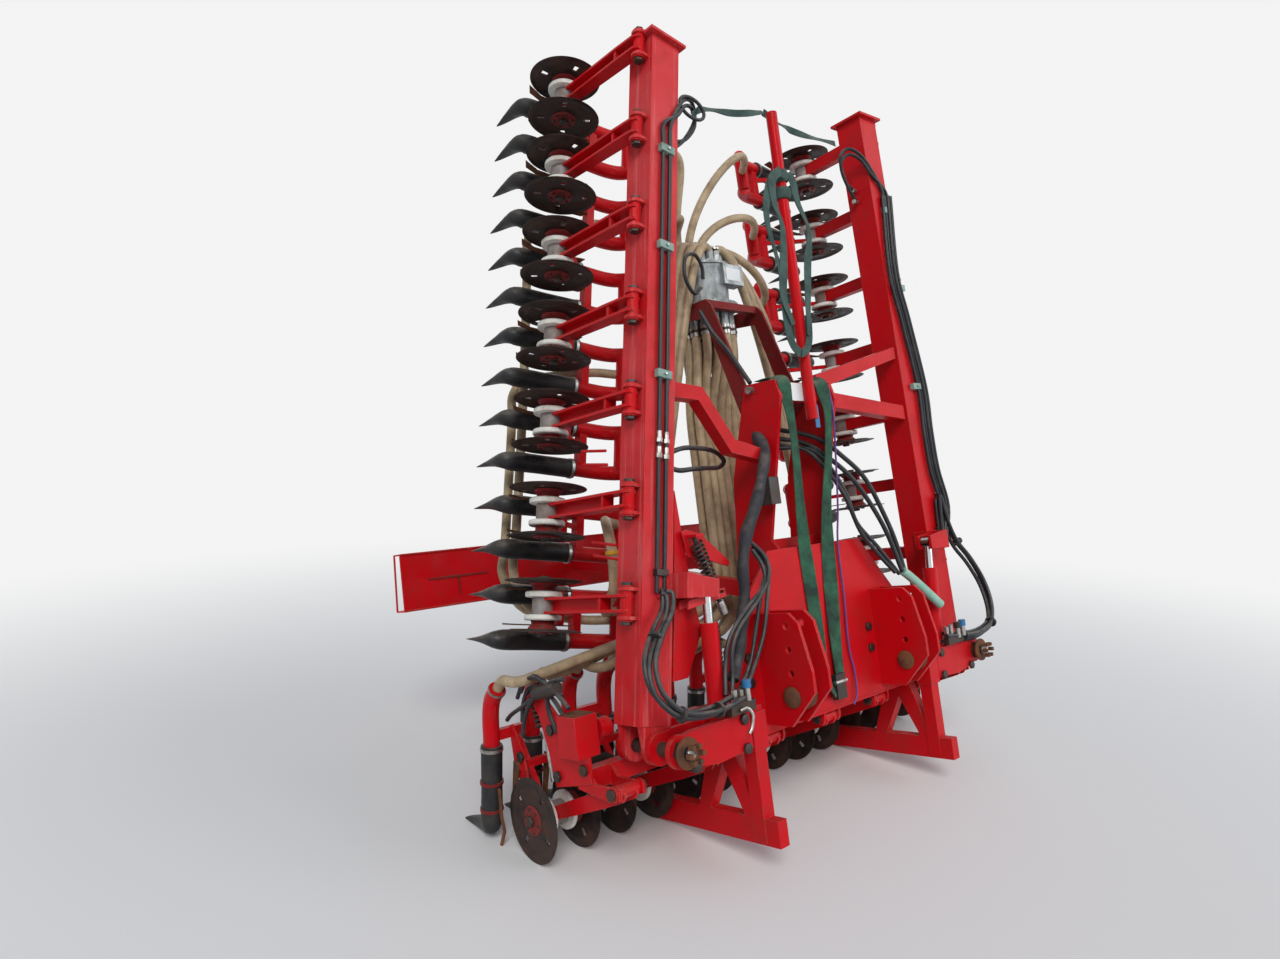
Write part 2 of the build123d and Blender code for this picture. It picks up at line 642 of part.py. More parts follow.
# Slurry distributor on its bracket behind the tower: a flanged drum with stubs below for the centre and above for the wings
DRUM = (0.0, 250.0, 2235.0)
DRUM_FLANGE_RADIUS = 165.0
DRUM_FLANGE = 22.0
DRUM_RADIUS = 122.0
DRUM_TOP_RADIUS = 135.0
DRUM_HEIGHT = 190.0
STUB_RADIUS = 21.0
STUB_SIDES = 10
CENTRE_STUBS = 2 * CENTRE_ARMS
CENTRE_STUB_RING = 118.0
CENTRE_STUB_LENGTH = 90.0
WING_STUB_RING = 96.0
WING_STUB_LENGTH = 60.0
BOX = (5.0, 135.0, 100.0, 165.0, 2345.0, 2440.0)
drum_top = DRUM[2] + DRUM_FLANGE + DRUM_HEIGHT
with BuildPart() as distributor:
    with BuildSketch(Plane(origin=DRUM)):
        RegularPolygon(DRUM_FLANGE_RADIUS, DISC_SIDES)
    extrude(amount=DRUM_FLANGE)
    with BuildSketch(Plane(origin=(DRUM[0], DRUM[1], DRUM[2] + DRUM_FLANGE))):
        RegularPolygon(DRUM_RADIUS, DISC_SIDES)
    with BuildSketch(Plane(origin=(DRUM[0], DRUM[1], drum_top))):
        RegularPolygon(DRUM_TOP_RADIUS, DISC_SIDES)
    loft()
    with BuildSketch(Plane(origin=(DRUM[0], DRUM[1], drum_top))):
        RegularPolygon(DRUM_TOP_RADIUS + 8, DISC_SIDES)
    extrude(amount=12)
    with BuildSketch(Plane(origin=((BOX[0] + BOX[1]) / 2, (BOX[2] + BOX[3]) / 2, BOX[4]))):
        Rectangle(BOX[1] - BOX[0], BOX[3] - BOX[2])
    extrude(amount=BOX[5] - BOX[4])
    with BuildSketch(Plane(origin=DRUM)):
        with PolarLocations(CENTRE_STUB_RING, CENTRE_STUBS, start_angle=180 / CENTRE_STUBS):
            RegularPolygon(STUB_RADIUS, STUB_SIDES)
    extrude(amount=-CENTRE_STUB_LENGTH)
    with BuildSketch(Plane(origin=(DRUM[0], DRUM[1], drum_top))):
        with PolarLocations(WING_STUB_RING, 2 * WING_ARMS):
            RegularPolygon(STUB_RADIUS, STUB_SIDES)
    extrude(amount=12 + WING_STUB_LENGTH)
keep(distributor.part, "distributor")

BRACKET_THICK = 12.0
BRACKET_BARS = ((87.0, 34.0), (413.0, 34.0))
with BuildPart() as distributor_bracket:
    for side in (-1, 1):
        with BuildSketch(along_x(side * (TOWER_X - TOWER_PLATE / 2 - BRACKET_THICK / 2) - BRACKET_THICK / 2)):
            with BuildLine():
                Polyline(
                    (-130, 1710),
                    (-60, 1650),
                    (95, 2150),
                    (430, 2195),
                    (430, DRUM[2]),
                    (70, DRUM[2]),
                    (40, 2200),
                    close=True,
                )
            make_face()
        extrude(amount=BRACKET_THICK)
    with BuildSketch(along_x(-TOWER_X + TOWER_PLATE / 2)):
        for y, width in BRACKET_BARS:
            with Locations((y, DRUM[2] - 17)):
                Rectangle(width, 34)
    extrude(amount=2 * TOWER_X - TOWER_PLATE)
keep(distributor_bracket.part, "distributor_bracket")

# Transport rests between the tower and the folded wings
with BuildPart() as transport_rests:
    with BuildSketch(along_y(BEAM_FRONT + 70)):
        with BuildLine():
            Polyline((TOWER_X + 8, 1690), (TOWER_X + 8, 1760), (908, 1700), (908, 1630), close=True)
        make_face()
        with BuildLine():
            Polyline((TOWER_X + 8, 1760), (TOWER_X + 8, 1830), (897, 2010), (897, 1950), close=True)
        make_face()
    extrude(amount=60)
    with BuildSketch(along_y(BEAM_FRONT + 70)):
        with BuildLine():
            Polyline(
                (-TOWER_X - 8, 1430),
                (-TOWER_X - 8, 1480),
                (-405, 1530),
                (-560, 1745),
                (-715, 1760),
                (-722, 1700),
                (-590, 1690),
                (-435, 1475),
                close=True,
            )
        make_face()
    extrude(amount=60)
keep(transport_rests.part, "transport_rests")

# Rear board on two arms from the tower
BOARD_Y = 1230.0
with BuildPart() as rear_board:
    with BuildSketch(along_x(-1250)):
        with BuildLine():
            Polyline(
                (BOARD_Y, 960),
                (BOARD_Y, 1235),
                (BOARD_Y + 70, 1235),
                (BOARD_Y + 70, 1228),
                (BOARD_Y + 8, 1228),
                (BOARD_Y + 8, 967),
                (BOARD_Y + 90, 967),
                (BOARD_Y + 90, 960),
                close=True,
            )
        make_face()
    extrude(amount=2500)
keep(rear_board.part, "rear_board")

with BuildPart() as rear_board_arms:
    for x in (-TOWER_X - TOWER_PLATE / 2 - 50, TOWER_X + TOWER_PLATE / 2):
        with BuildSketch(along_x(x)):
            with BuildLine():
                Polyline((-40, 860), (-40, 930), (BOARD_Y, 1130), (BOARD_Y, 1060), close=True)
            make_face()
        extrude(amount=50)
keep(rear_board_arms.part, "rear_board_arms")

# Wings, drawn unfolded
BRACKET_X = HINGE_X + 570.0
BRACKET_Z = BEAM_TOP + 111.0
BRACKET_FOOT = 80.0
EYE_PLATE_HALF = 45.0
WING_PAIR = make_disc_pair(WING_HUB)
for side, name, lean in ((-1, "right", LEAN_RIGHT), (1, "left", LEAN_LEFT)):
    body = f"wing_{name}"
    start = HINGE_X + WING_BEAM_START
    end = HINGE_X + WING_BEAM_END
    with BuildPart() as wing_beam:
        with BuildSketch(along_x(side * start)):
            with Locations((BEAM_MIDDLE, BEAM_TOP - BEAM_HEIGHT / 2)):
                Rectangle(BEAM_DEPTH, BEAM_HEIGHT)
                Rectangle(BEAM_DEPTH - 2 * BEAM_WALL, BEAM_HEIGHT - 2 * BEAM_WALL, mode=Mode.SUBTRACT)
        extrude(amount=side * (end - start))
        with BuildSketch(along_x(side * start)):
            with Locations((BEAM_MIDDLE, BEAM_TOP - BEAM_HEIGHT / 2)):
                Rectangle(BEAM_DEPTH, BEAM_HEIGHT)
        extrude(amount=side * BEAM_END_PLATE)
        with BuildSketch(along_x(side * end)):
            with Locations((BEAM_MIDDLE, BEAM_TOP - BEAM_HEIGHT / 2)):
                Rectangle(BEAM_DEPTH + 2 * END_PLATE_LIP, BEAM_HEIGHT + 2 * END_PLATE_LIP)
        extrude(amount=side * BEAM_END_PLATE)
        for face in (BEAM_FRONT + EAR_GAP + EAR_THICK, BEAM_BACK - EAR_GAP):
            with BuildSketch(along_y(face)):
                with BuildLine():
                    Polyline(
                        (side * HINGE_X, HINGE_Z - EAR_RADIUS),
                        (side * (start + 5), BEAM_BOTTOM + 10),
                        (side * (start + 5), BEAM_TOP),
                        (side * HINGE_X, HINGE_Z + EAR_RADIUS),
                        close=True,
                    )
                make_face()
                with Locations((side * HINGE_X, HINGE_Z)):
                    Circle(EAR_RADIUS)
                    Circle(PIN_RADIUS + PIN_CLEARANCE, mode=Mode.SUBTRACT)
            extrude(amount=EAR_THICK)
        for x in WING_XS:
            for inner in (LUG_HALF_GAP, -LUG_HALF_GAP - LUG_THICK):
                with BuildSketch(along_x(side * x + inner)):
                    with Locations((PIVOT_Y, PIVOT_Z)):
                        RegularPolygon(LUG_RADIUS, BOSS_SIDES)
                    with Locations((PIVOT_Y, (PIVOT_Z + BEAM_BOTTOM) / 2)):
                        Rectangle(2 * LUG_RADIUS, BEAM_BOTTOM - PIVOT_Z)
                extrude(amount=LUG_THICK)
        for face in (CYLINDER_Y - FOOT_HALF_GAP, CYLINDER_Y + FOOT_HALF_GAP + FOOT_PLATE):
            with BuildSketch(along_y(face)):
                with BuildLine():
                    Polyline(
                        (side * (BRACKET_X - EYE_PLATE_HALF), BEAM_TOP - 20),
                        (side * (BRACKET_X - 33), BRACKET_Z + 33),
                        (side * (BRACKET_X + 33), BRACKET_Z + 33),
                        (side * (BRACKET_X + EYE_PLATE_HALF), BEAM_TOP - 20),
                        close=True,
                    )
                make_face()
            extrude(amount=FOOT_PLATE)
        with BuildSketch(along_x(side * (BRACKET_X - EYE_PLATE_HALF))):
            with BuildLine():
                Polyline(
                    (CYLINDER_Y - FOOT_HALF_GAP - FOOT_PLATE, BEAM_TOP - 20),
                    (CYLINDER_Y - FOOT_HALF_GAP - FOOT_PLATE, BEAM_TOP + 10),
                    (BEAM_MIDDLE, BEAM_TOP + 10),
                    (BEAM_MIDDLE, BEAM_TOP),
                    (BEAM_FRONT, BEAM_TOP),
                    (BEAM_FRONT, BEAM_TOP - BRACKET_FOOT),
                    (BEAM_FRONT - 10, BEAM_TOP - BRACKET_FOOT),
                    (BEAM_FRONT - 10, BEAM_TOP - 20),
                    close=True,
                )
            make_face()
        extrude(amount=side * 2 * EYE_PLATE_HALF)
    keep(wing_beam.part, f"wing_{name}_beam", body)
    offsets = outlet_offsets(-side, OUTLET_SHIFT)
    with BuildPart() as wing_arms:
        with Locations(*[(side * x, 0, 0) for x in WING_XS]):
            add(make_arm(WING_HUB, WING_OUTLET_LIFT, offsets, joined=True))
    keep(wing_arms.part, f"wing_{name}_arms", body)
    with BuildPart() as wing_blades:
        with Locations(*[(side * x, 0, 0) for x in WING_XS]):
            add(make_blades(WING_HUB, 0))
    keep(wing_blades.part, f"wing_{name}_blades", body)
    with BuildPart() as wing_outlets:
        with Locations(*[(side * x + offset, 0, 0) for x in WING_XS for offset in offsets]):
            add(make_outlet(WING_OUTLET_LIFT))
    keep(wing_outlets.part, f"wing_{name}_outlets", body)
    for number, x in enumerate(WING_XS, 1):
        with BuildPart() as disc_pair:
            with Locations((side * x, 0, 0)):
                add(WING_PAIR)
        keep(disc_pair.part, f"disc_pair_{name}_{number}", body)

# Fold cylinders, drawn in place between the foot on the beam and the folded wing's bracket
BARREL_RADIUS = 34.0
ROD_RADIUS = 18.0
BARREL_START = 58.0
NECK_RADIUS = 17.0
BARREL_END = 130.0
EYE_RADIUS = 30.0
EYE_HALF = 20.0


def folded_point(x, z, lean):
    """Where a point of an unfolded wing lies once folded, as distances outward and up."""
    angle = math.radians(90 + lean)
    dx, dz = x - HINGE_X, z - HINGE_Z
    return (
        HINGE_X + dx * math.cos(angle) - dz * math.sin(angle),
        HINGE_Z + dx * math.sin(angle) + dz * math.cos(angle),
    )


for side, name, lean in ((-1, "right", LEAN_RIGHT), (1, "left", LEAN_LEFT)):
    eye_x, eye_z = folded_point(BRACKET_X, BRACKET_Z, lean)
    run = Vector(side * (eye_x - FOOT_X), 0, eye_z - FOOT_Z)
    foot = Vector(side * FOOT_X, CYLINDER_Y, FOOT_Z)
    way = run.normalized()
    with BuildPart() as barrel:
        with BuildSketch(Plane(origin=foot + way * BARREL_START, x_dir=(0, 1, 0), z_dir=way)):
            Circle(BARREL_RADIUS)
        extrude(amount=run.length - BARREL_START - BARREL_END)
        with BuildSketch(Plane(origin=foot, x_dir=(0, 1, 0), z_dir=way)):
            Circle(NECK_RADIUS)
        extrude(amount=BARREL_START)
        with BuildSketch(Plane(origin=foot + way * (BARREL_START + 20), x_dir=(0, 1, 0), z_dir=way)):
            Circle(ROD_RADIUS + 0.5)
        extrude(amount=run.length - BARREL_START - 20 - BARREL_END, mode=Mode.SUBTRACT)
        with BuildSketch(along_y(CYLINDER_Y + EYE_HALF, side * FOOT_X, FOOT_Z)):
            Circle(EYE_RADIUS)
        extrude(amount=2 * EYE_HALF)
    keep(barrel.part, f"fold_barrel_{name}", f"fold_barrel_{name}")
    with BuildPart() as rod:
        with BuildSketch(Plane(origin=foot + way * (BARREL_START + 30), x_dir=(0, 1, 0), z_dir=way)):
            Circle(ROD_RADIUS)
        extrude(amount=run.length - BARREL_START - 30)
        with BuildSketch(along_y(CYLINDER_Y + EYE_HALF, side * eye_x, eye_z)):
            Circle(EYE_RADIUS)
        extrude(amount=2 * EYE_HALF)
    keep(rod.part, f"fold_rod_{name}", f"fold_rod_{name}")

# Slurry hoses: one from the distributor to each centre elbow, in two layers behind the tower, and one to each wing arm
HOSE_RADIUS = 20.0
HOSE_SIDES = 6
HOSE_BEND = 170.0
BUNDLE_PITCH = 48.0
BUNDLE_LAYERS = (245.0, 300.0)
BUNDLE_TOP = 1750.0
FEED_RISE = 2640.0
HOSE_END = (388.5, 761.5)


def bent(points, bend):
    """The points of a hose's route, with each corner rounded by short chords."""
    points = [Vector(*p) for p in points]
    out = [points[0]]
    for before, corner, after in zip(points, points[1:], points[2:]):
        back, on = before - corner, after - corner
        reach = min(bend, back.length * 0.45, on.length * 0.45)
        first, last = corner + back.normalized() * reach, corner + on.normalized() * reach
        for t in (0.0, 0.33, 0.67, 1.0):
            out.append(first * (1 - t) ** 2 + corner * (2 * t * (1 - t)) + last * t**2)
    return out + [points[-1]]


def make_hose(points):
    """One hose of plain polygon section, lofted with flat sides from point to point of a bent route."""
    route = bent(points, HOSE_BEND)
    ways = [(after - before).normalized() for before, after in zip(route, route[1:])]
    leans = [ways[0]] + [(a + b).normalized() for a, b in zip(ways, ways[1:])] + [ways[-1]]
    across = ways[0].cross(Vector(0.3, 0.9, 0.2)).normalized()
    with BuildPart() as hose:
        for place, lean in zip(route, leans):
            across = (across - lean * across.dot(lean)).normalized()
            with BuildSketch(Plane(origin=place, x_dir=across, z_dir=lean)):
                RegularPolygon(HOSE_RADIUS, HOSE_SIDES)
        loft(ruled=True)
    return hose.part


def ring_place(radius, number, count, start):
    """Where a stub stands on one of the drum's rings."""
    angle = math.radians(start + 360 * number / count)
    return DRUM[0] + radius * math.cos(angle), DRUM[1] + radius * math.sin(angle)


stubs = [ring_place(CENTRE_STUB_RING, i, CENTRE_STUBS, 180 / CENTRE_STUBS) for i in range(CENTRE_STUBS)]
front_stubs = sorted(place for place in stubs if place[1] < DRUM[1])
rear_stubs = sorted(place for place in stubs if place[1] > DRUM[1])
with BuildPart() as centre_hoses:
    for column in range(CENTRE_ARMS):
        inward = min(column, CENTRE_ARMS - 1 - column)
        bundle_x = (column - (CENTRE_ARMS - 1) / 2) * BUNDLE_PITCH
        pair = CENTRE_OUTLET_XS[2 * column : 2 * column + 2]
        if bundle_x > 0:
            pair = pair[::-1]
        for outlet_x, layer_y, (stub_x, stub_y), drop in zip(
            pair, BUNDLE_LAYERS, (front_stubs[column], rear_stubs[column]), (0, 15)
        ):
            route = [
                (outlet_x, ELBOW[-1][0] - 1.5, ELBOW[-1][1] + 1.35),
                (outlet_x, ELBOW[-1][0] - 40, ELBOW[-1][1] + 36),
                (outlet_x, layer_y + 5, ELBOW[-1][1] + 30 - 20 * inward - drop),
                (bundle_x, layer_y, ELBOW[-1][1] + 175 - 55 * inward),
                (bundle_x, layer_y, BUNDLE_TOP),
                (stub_x, stub_y, DRUM[2] - CENTRE_STUB_LENGTH - 130),
                (stub_x, stub_y, DRUM[2] - CENTRE_STUB_LENGTH),
            ]
            add(make_hose(route))
keep(centre_hoses.part, "slurry_hoses_centre")

stubs = [ring_place(WING_STUB_RING, i, 2 * WING_ARMS, 0) for i in range(2 * WING_ARMS)]
for side, name, lean in ((-1, "right", LEAN_RIGHT), (1, "left", LEAN_LEFT)):
    own_stubs = sorted((y, x) for x, y in stubs if x * side > 0)
    with BuildPart() as wing_hoses:
        for number, ((stub_y, stub_x), arm_x) in enumerate(zip(own_stubs, WING_XS)):
            plane_y = DRUM[1] + BUNDLE_PITCH * (number - (WING_ARMS - 1) / 2)
            end_x, end_z = folded_point(arm_x - OUTLET_SHIFT, HOSE_END[1], lean)
            near_x, near_z = folded_point(arm_x - OUTLET_SHIFT, HOSE_END[1] + 60, lean)
            rise_x = abs(stub_x) + 60
            route = [
                (stub_x, stub_y, drum_top + 12 + WING_STUB_LENGTH),
                (stub_x, stub_y, drum_top + 12 + WING_STUB_LENGTH + 40),
                (side * rise_x, plane_y, FEED_RISE + 30),
                (side * (rise_x + (near_x - rise_x) * 0.72), plane_y, FEED_RISE + (near_z - FEED_RISE) * 0.42),
                (side * near_x, HOSE_END[0] - 66, near_z),
                (side * end_x, HOSE_END[0], end_z),
            ]
            add(make_hose(route))
    keep(wing_hoses.part, f"slurry_hoses_{name}")

# Fold, park and write
FOLDS = {}
for side, name, lean in ((-1, "right", LEAN_RIGHT), (1, "left", LEAN_LEFT)):
    FOLDS[f"wing_{name}"] = (
        Location((side * HINGE_X, 0, HINGE_Z))
        * Location((0, 0, 0), (0, -side * (90 + lean), 0))
        * Location((-side * HINGE_X, 0, -HINGE_Z))
    )
lift = DISC_RADIUS - (HUB_Z * TILT_COS - HUB_Y * math.sin(math.radians(PARKING_TILT)))
TILTED = Location((0, 0, lift)) * Location((0, 0, 0), (-PARKING_TILT, 0, 0))

parked = []
for part, name, place in pieces:
    parked.append((part.moved(TILTED * FOLDS.get(place, Location())), name))
boxes = [part.bounding_box() for part, name in parked]
low = [min(tuple(box.min)[i] for box in boxes) for i in range(3)]
high = [max(tuple(box.max)[i] for box in boxes) for i in range(3)]
CENTRED = Location((-(low[0] + high[0]) / 2, -(low[1] + high[1]) / 2, 0))
os.makedirs("parts", exist_ok=True)
for part, name in parked:
    placed = part.moved(CENTRED)
    placed.label = name
    export_step(placed, f"parts/{name}.step")
print("box", low, high, "lift", lift)
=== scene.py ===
import json
import math
import bmesh
import bpy
import numpy as np
from mathutils import Matrix, Vector


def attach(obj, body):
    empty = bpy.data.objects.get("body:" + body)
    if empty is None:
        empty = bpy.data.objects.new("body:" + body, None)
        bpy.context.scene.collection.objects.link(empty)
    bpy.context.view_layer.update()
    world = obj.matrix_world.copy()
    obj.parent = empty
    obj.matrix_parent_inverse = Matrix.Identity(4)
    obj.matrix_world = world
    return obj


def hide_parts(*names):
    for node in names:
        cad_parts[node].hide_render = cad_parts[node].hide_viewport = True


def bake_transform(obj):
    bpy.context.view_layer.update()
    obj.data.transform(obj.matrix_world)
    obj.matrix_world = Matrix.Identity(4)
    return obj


# The machine as it parks: a folding slurry injector that leans back a little on its two stands.
# The CAD gives every solid its place. Pieces here are drawn in the machine's own directions, X to its left,
# Y to its rear and Z up, in metres, and the fold pins tell where those directions lie once it is parked.
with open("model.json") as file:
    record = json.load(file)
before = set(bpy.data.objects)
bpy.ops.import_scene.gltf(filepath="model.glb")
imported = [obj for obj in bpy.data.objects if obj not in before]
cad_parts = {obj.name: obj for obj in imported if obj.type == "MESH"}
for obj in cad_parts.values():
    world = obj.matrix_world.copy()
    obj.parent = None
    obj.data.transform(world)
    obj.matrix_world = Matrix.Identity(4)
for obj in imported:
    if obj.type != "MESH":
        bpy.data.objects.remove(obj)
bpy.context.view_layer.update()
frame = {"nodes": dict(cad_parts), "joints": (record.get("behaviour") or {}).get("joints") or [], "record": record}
joints = {joint["name"]: joint for joint in frame["joints"]}
PIN_X, PIN_Y, PIN_Z = 1.02, -0.144, 0.43
SIDEWAYS = np.array((1.0, 0.0, 0.0))
REARWARD = np.array(joints["fold_left"]["axis"], float)
UPWARD = np.cross(SIDEWAYS, REARWARD)
AXES = np.array((SIDEWAYS, REARWARD, UPWARD))
pins_middle = (np.array(joints["fold_left"]["pos_m"]) + np.array(joints["fold_right"]["pos_m"])) / 2
ORIGIN = pins_middle - PIN_Y * REARWARD - PIN_Z * UPWARD
SIGNS = {"right": -1.0, "left": 1.0}
FOLDS = {side: math.radians(joints[f"fold_{side}"]["range_deg"][1]) for side in SIGNS}


def parked(points):
    """Points given in the machine's own directions, where they stand on the parked machine."""
    return ORIGIN + np.asarray(points, float) @ AXES


def swung(side, points):
    """Points of a wing as it is unfolded, in the machine's directions, once it is folded: each is turned
    about the wing's pin, in the plane across the machine, by the whole angle of the fold."""
    sign, angle = SIGNS[side], FOLDS[side]
    points = np.asarray(points, float)
    out, up = sign * points[..., 0] - PIN_X, points[..., 2] - PIN_Z
    x = sign * (PIN_X + out * math.cos(angle) - up * math.sin(angle))
    z = PIN_Z + out * math.sin(angle) + up * math.cos(angle)
    return np.stack((x, points[..., 1], z), -1)


def folded(side):
    """The function that takes points of an unfolded wing to where they stand on the parked machine."""
    return lambda points: parked(swung(side, points))


# Camera at the photograph's place and angle. Its place is measured in level directions from the machine's
# origin.
CAMERA_FROM_ORIGIN = np.array((-2.928, -2.1905, 1.6307))
CAMERA_AZIMUTH = math.radians(-41.055)
CAMERA_PITCH = math.radians(4.442)
CAMERA_ROLL = math.radians(1.039)
LENS_MM, SENSOR_MM = 23.16, 36.0
PLUMB = np.array((0.0, 0.0, 1.0))
camera_data = bpy.data.cameras.new("camera")
camera_data.lens = LENS_MM
camera_data.sensor_width = SENSOR_MM
camera = bpy.data.objects.new("camera", camera_data)
camera.location = ORIGIN + CAMERA_FROM_ORIGIN
camera.rotation_mode = "XYZ"
right_way = np.array((math.cos(CAMERA_AZIMUTH), math.sin(CAMERA_AZIMUTH), 0.0))
level_way = np.array((-math.sin(CAMERA_AZIMUTH), math.cos(CAMERA_AZIMUTH), 0.0))
look_way = math.cos(CAMERA_PITCH) * level_way - math.sin(CAMERA_PITCH) * PLUMB
over_way = math.sin(CAMERA_PITCH) * level_way + math.cos(CAMERA_PITCH) * PLUMB
turn = Matrix(np.array((right_way, over_way, -look_way)).T.tolist()) @ Matrix.Rotation(CAMERA_ROLL, 3, "Z")
camera.rotation_euler = turn.to_euler()
bpy.context.scene.collection.objects.link(camera)
bpy.context.scene.camera = camera
bpy.context.scene.view_settings.view_transform = "Standard"

# Pale floor and sky, and soft daylight: a bright cloud behind the camera's left, and weaker light from the
# right. The floor takes the machine's shadow and fades into the sky's tone away from it.
SKY_LIGHT, SKY_STRENGTH = (0.80, 0.87, 1.0, 1.0), 0.40
SKY_SEEN = (0.90, 0.90, 0.90, 1.0)
FLOOR_PALE, FLOOR_ROUGHNESS = (0.78, 0.78, 0.77, 1.0), 0.8
FLOOR_HALF = 60.0
FLOOR_FADE_FROM, FLOOR_FADE_TO = 2.2, 8.0


def node_maker(tree):
    """A function that adds a node to a tree: its kind, its settings, and its inputs by name or by number
    after an i, each a value or another node's output."""

    def add(kind, settings=None, **inputs):
        node = tree.nodes.new(f"ShaderNode{kind}")
        for key, value in (settings or {}).items():
            setattr(node, key, value)
        for key, value in inputs.items():
            numbered = key[0] == "i" and key[1:].isdigit()
            socket = node.inputs[int(key[1:]) if numbered else key.replace("_", " ")]
            if isinstance(value, bpy.types.NodeSocket):
                tree.links.new(value, socket)
            else:
                socket.default_value = value
        return node

    return add


def reckoned(add, operation, first, second):
    """The output of a node that works one sum of two values, such as their product or the larger one."""
    return add("Math", {"operation": operation}, i0=first, i1=second).outputs[0]


world = bpy.data.worlds.new("sky")
world.use_nodes = True
add = node_maker(world.node_tree)
sky = world.node_tree.nodes["Background"]
sky.inputs["Color"].default_value = SKY_LIGHT
sky.inputs["Strength"].default_value = SKY_STRENGTH
seen_sky = add("Background", Color=SKY_SEEN)
rays = add("LightPath").outputs
either_ray = reckoned(add, "MAXIMUM", rays["Is Camera Ray"], rays["Is Glossy Ray"])
any_ray = reckoned(add, "MAXIMUM", either_ray, rays["Is Transmission Ray"])
sky_mix = add("MixShader", i0=any_ray, i1=sky.outputs[0], i2=seen_sky.outputs[0])
world.node_tree.links.new(sky_mix.outputs[0], world.node_tree.nodes["World Output"].inputs["Surface"])
bpy.context.scene.world = world

floor_mesh = bpy.data.meshes.new("floor")
floor_corners = [(FLOOR_HALF * x, FLOOR_HALF * y, 0) for x, y in ((-1, -1), (1, -1), (1, 1), (-1, 1))]
floor_mesh.from_pydata(floor_corners, [], [(0, 1, 2, 3)])
floor = bpy.data.objects.new("floor", floor_mesh)
bpy.context.scene.collection.objects.link(floor)
floor_paint = bpy.data.materials.new("pale floor")
floor_paint.use_nodes = True
floor_tree = floor_paint.node_tree
add = node_maker(floor_tree)
ground = floor_tree.nodes["Principled BSDF"]
ground.inputs["Base Color"].default_value = FLOOR_PALE
ground.inputs["Roughness"].default_value = FLOOR_ROUGHNESS
far_ground = add("Emission", Color=SKY_SEEN)
away = add("VectorMath", {"operation": "LENGTH"}, i0=add("TexCoord").outputs["Object"])
fade = add("MapRange", {"interpolation_type": "SMOOTHSTEP"}, Value=away.outputs["Value"])
fade.inputs["From Min"].default_value = FLOOR_FADE_FROM
fade.inputs["From Max"].default_value = FLOOR_FADE_TO
seen_fade = reckoned(add, "MULTIPLY", fade.outputs[0], add("LightPath").outputs["Is Camera Ray"])
floor_mix = add("MixShader", i0=seen_fade, i1=ground.outputs[0], i2=far_ground.outputs[0])
floor_tree.links.new(floor_mix.outputs[0], floor_tree.nodes["Material Output"].inputs["Surface"])
floor_mesh.materials.append(floor_paint)


def daylight(name, toward, strength, breadth, color):
    """A broad soft sun, which shines the way its direction points. Its breadth is an angle in degrees."""
    data = bpy.data.lights.new(name, "SUN")
    data.angle = math.radians(breadth)
    data.energy = strength
    data.color = color
    sun = bpy.data.objects.new(name, data)
    sun.rotation_euler = Vector(toward).to_track_quat("-Z", "Y").to_euler()
    bpy.context.scene.collection.objects.link(sun)


daylight("bright cloud", (0.62, 0.72, -0.80), strength=1.65, breadth=24, color=(1.0, 0.98, 0.95))
daylight("open side", (-0.62, 0.80, -0.45), strength=0.85, breadth=40, color=(0.95, 0.97, 1.0))


# Disc pairs: two pressed steel discs with a bevelled rim and four slots, each on a spool with a cream seal
# ring, either side of the arm's grey hub. Each pair turns on its arm, and has its own body. The shapes and
# the effects of wear that all finishes share start here.
PITCH = 0.19
HUB_Y, HUB_Z = 0.301, 0.160
CENTRE_ARM_XS = [2 * PITCH * (i - 3) for i in range(7)]
WING_ARM_XS = [2 * PITCH * (i + 4) for i in range(7)]
PIVOT_Y, PIVOT_Z = -0.165, 0.313
WING_ARM_LIFT = math.radians(14.7)
DISC_R = 0.160
DISC_THICK, RIM_THICK = 0.0055, 0.0015
SLOT_INNER, SLOT_OUTER, SLOT_HALF = 0.088, 0.118, math.radians(5.5)
MERGED_WITHIN = 0.00002
SHARP_FROM = math.radians(38)
ROUNDED_FROM = math.radians(50)


def ring_faces(rows, columns):
    """Quads of a grid of points whose columns close into a ring: each point, the next one round, and the
    same two in the next row. A shape is its points, one row each, with faces that index them."""
    row, column = np.meshgrid(np.arange(rows - 1), np.arange(columns), indexing="ij")
    after = (column + 1) % columns
    row, next_row = row * columns, (row + 1) * columns
    corners = (row + column, row + after, next_row + after, next_row + column)
    return np.stack(corners, -1).reshape(-1, 4)


def turned_shape(profile, sides=32):
    """A turned shape about the X axis. Its profile is a list of (along, radius), and the point at angle a
    is (along, radius cos a, radius sin a). A radius of nought closes an end."""
    along, radius = np.array(profile, float).T
    angle = np.linspace(0, 2 * math.pi, sides, endpoint=False)
    y, z = np.outer(radius, np.cos(angle)), np.outer(radius, np.sin(angle))
    points = np.stack((np.repeat(along[:, None], sides, 1), y, z), -1).reshape(-1, 3)
    return points, ring_faces(len(profile), sides)


def shifted(shape, *places):
    """Copies of a shape at several places, as one shape."""
    points, faces = shape
    places = np.array(places, float)
    copies = (points[None] + places[:, None]).reshape(-1, 3)
    steps = np.arange(len(places)) * len(points)
    return copies, [tuple(index + step for index in face) for step in steps for face in faces]


def sided(shape, sign):
    """A shape as it is on one side: mirrored in the plane x = 0 where sign is -1."""
    return shape[0] * (sign, 1, 1), shape[1]


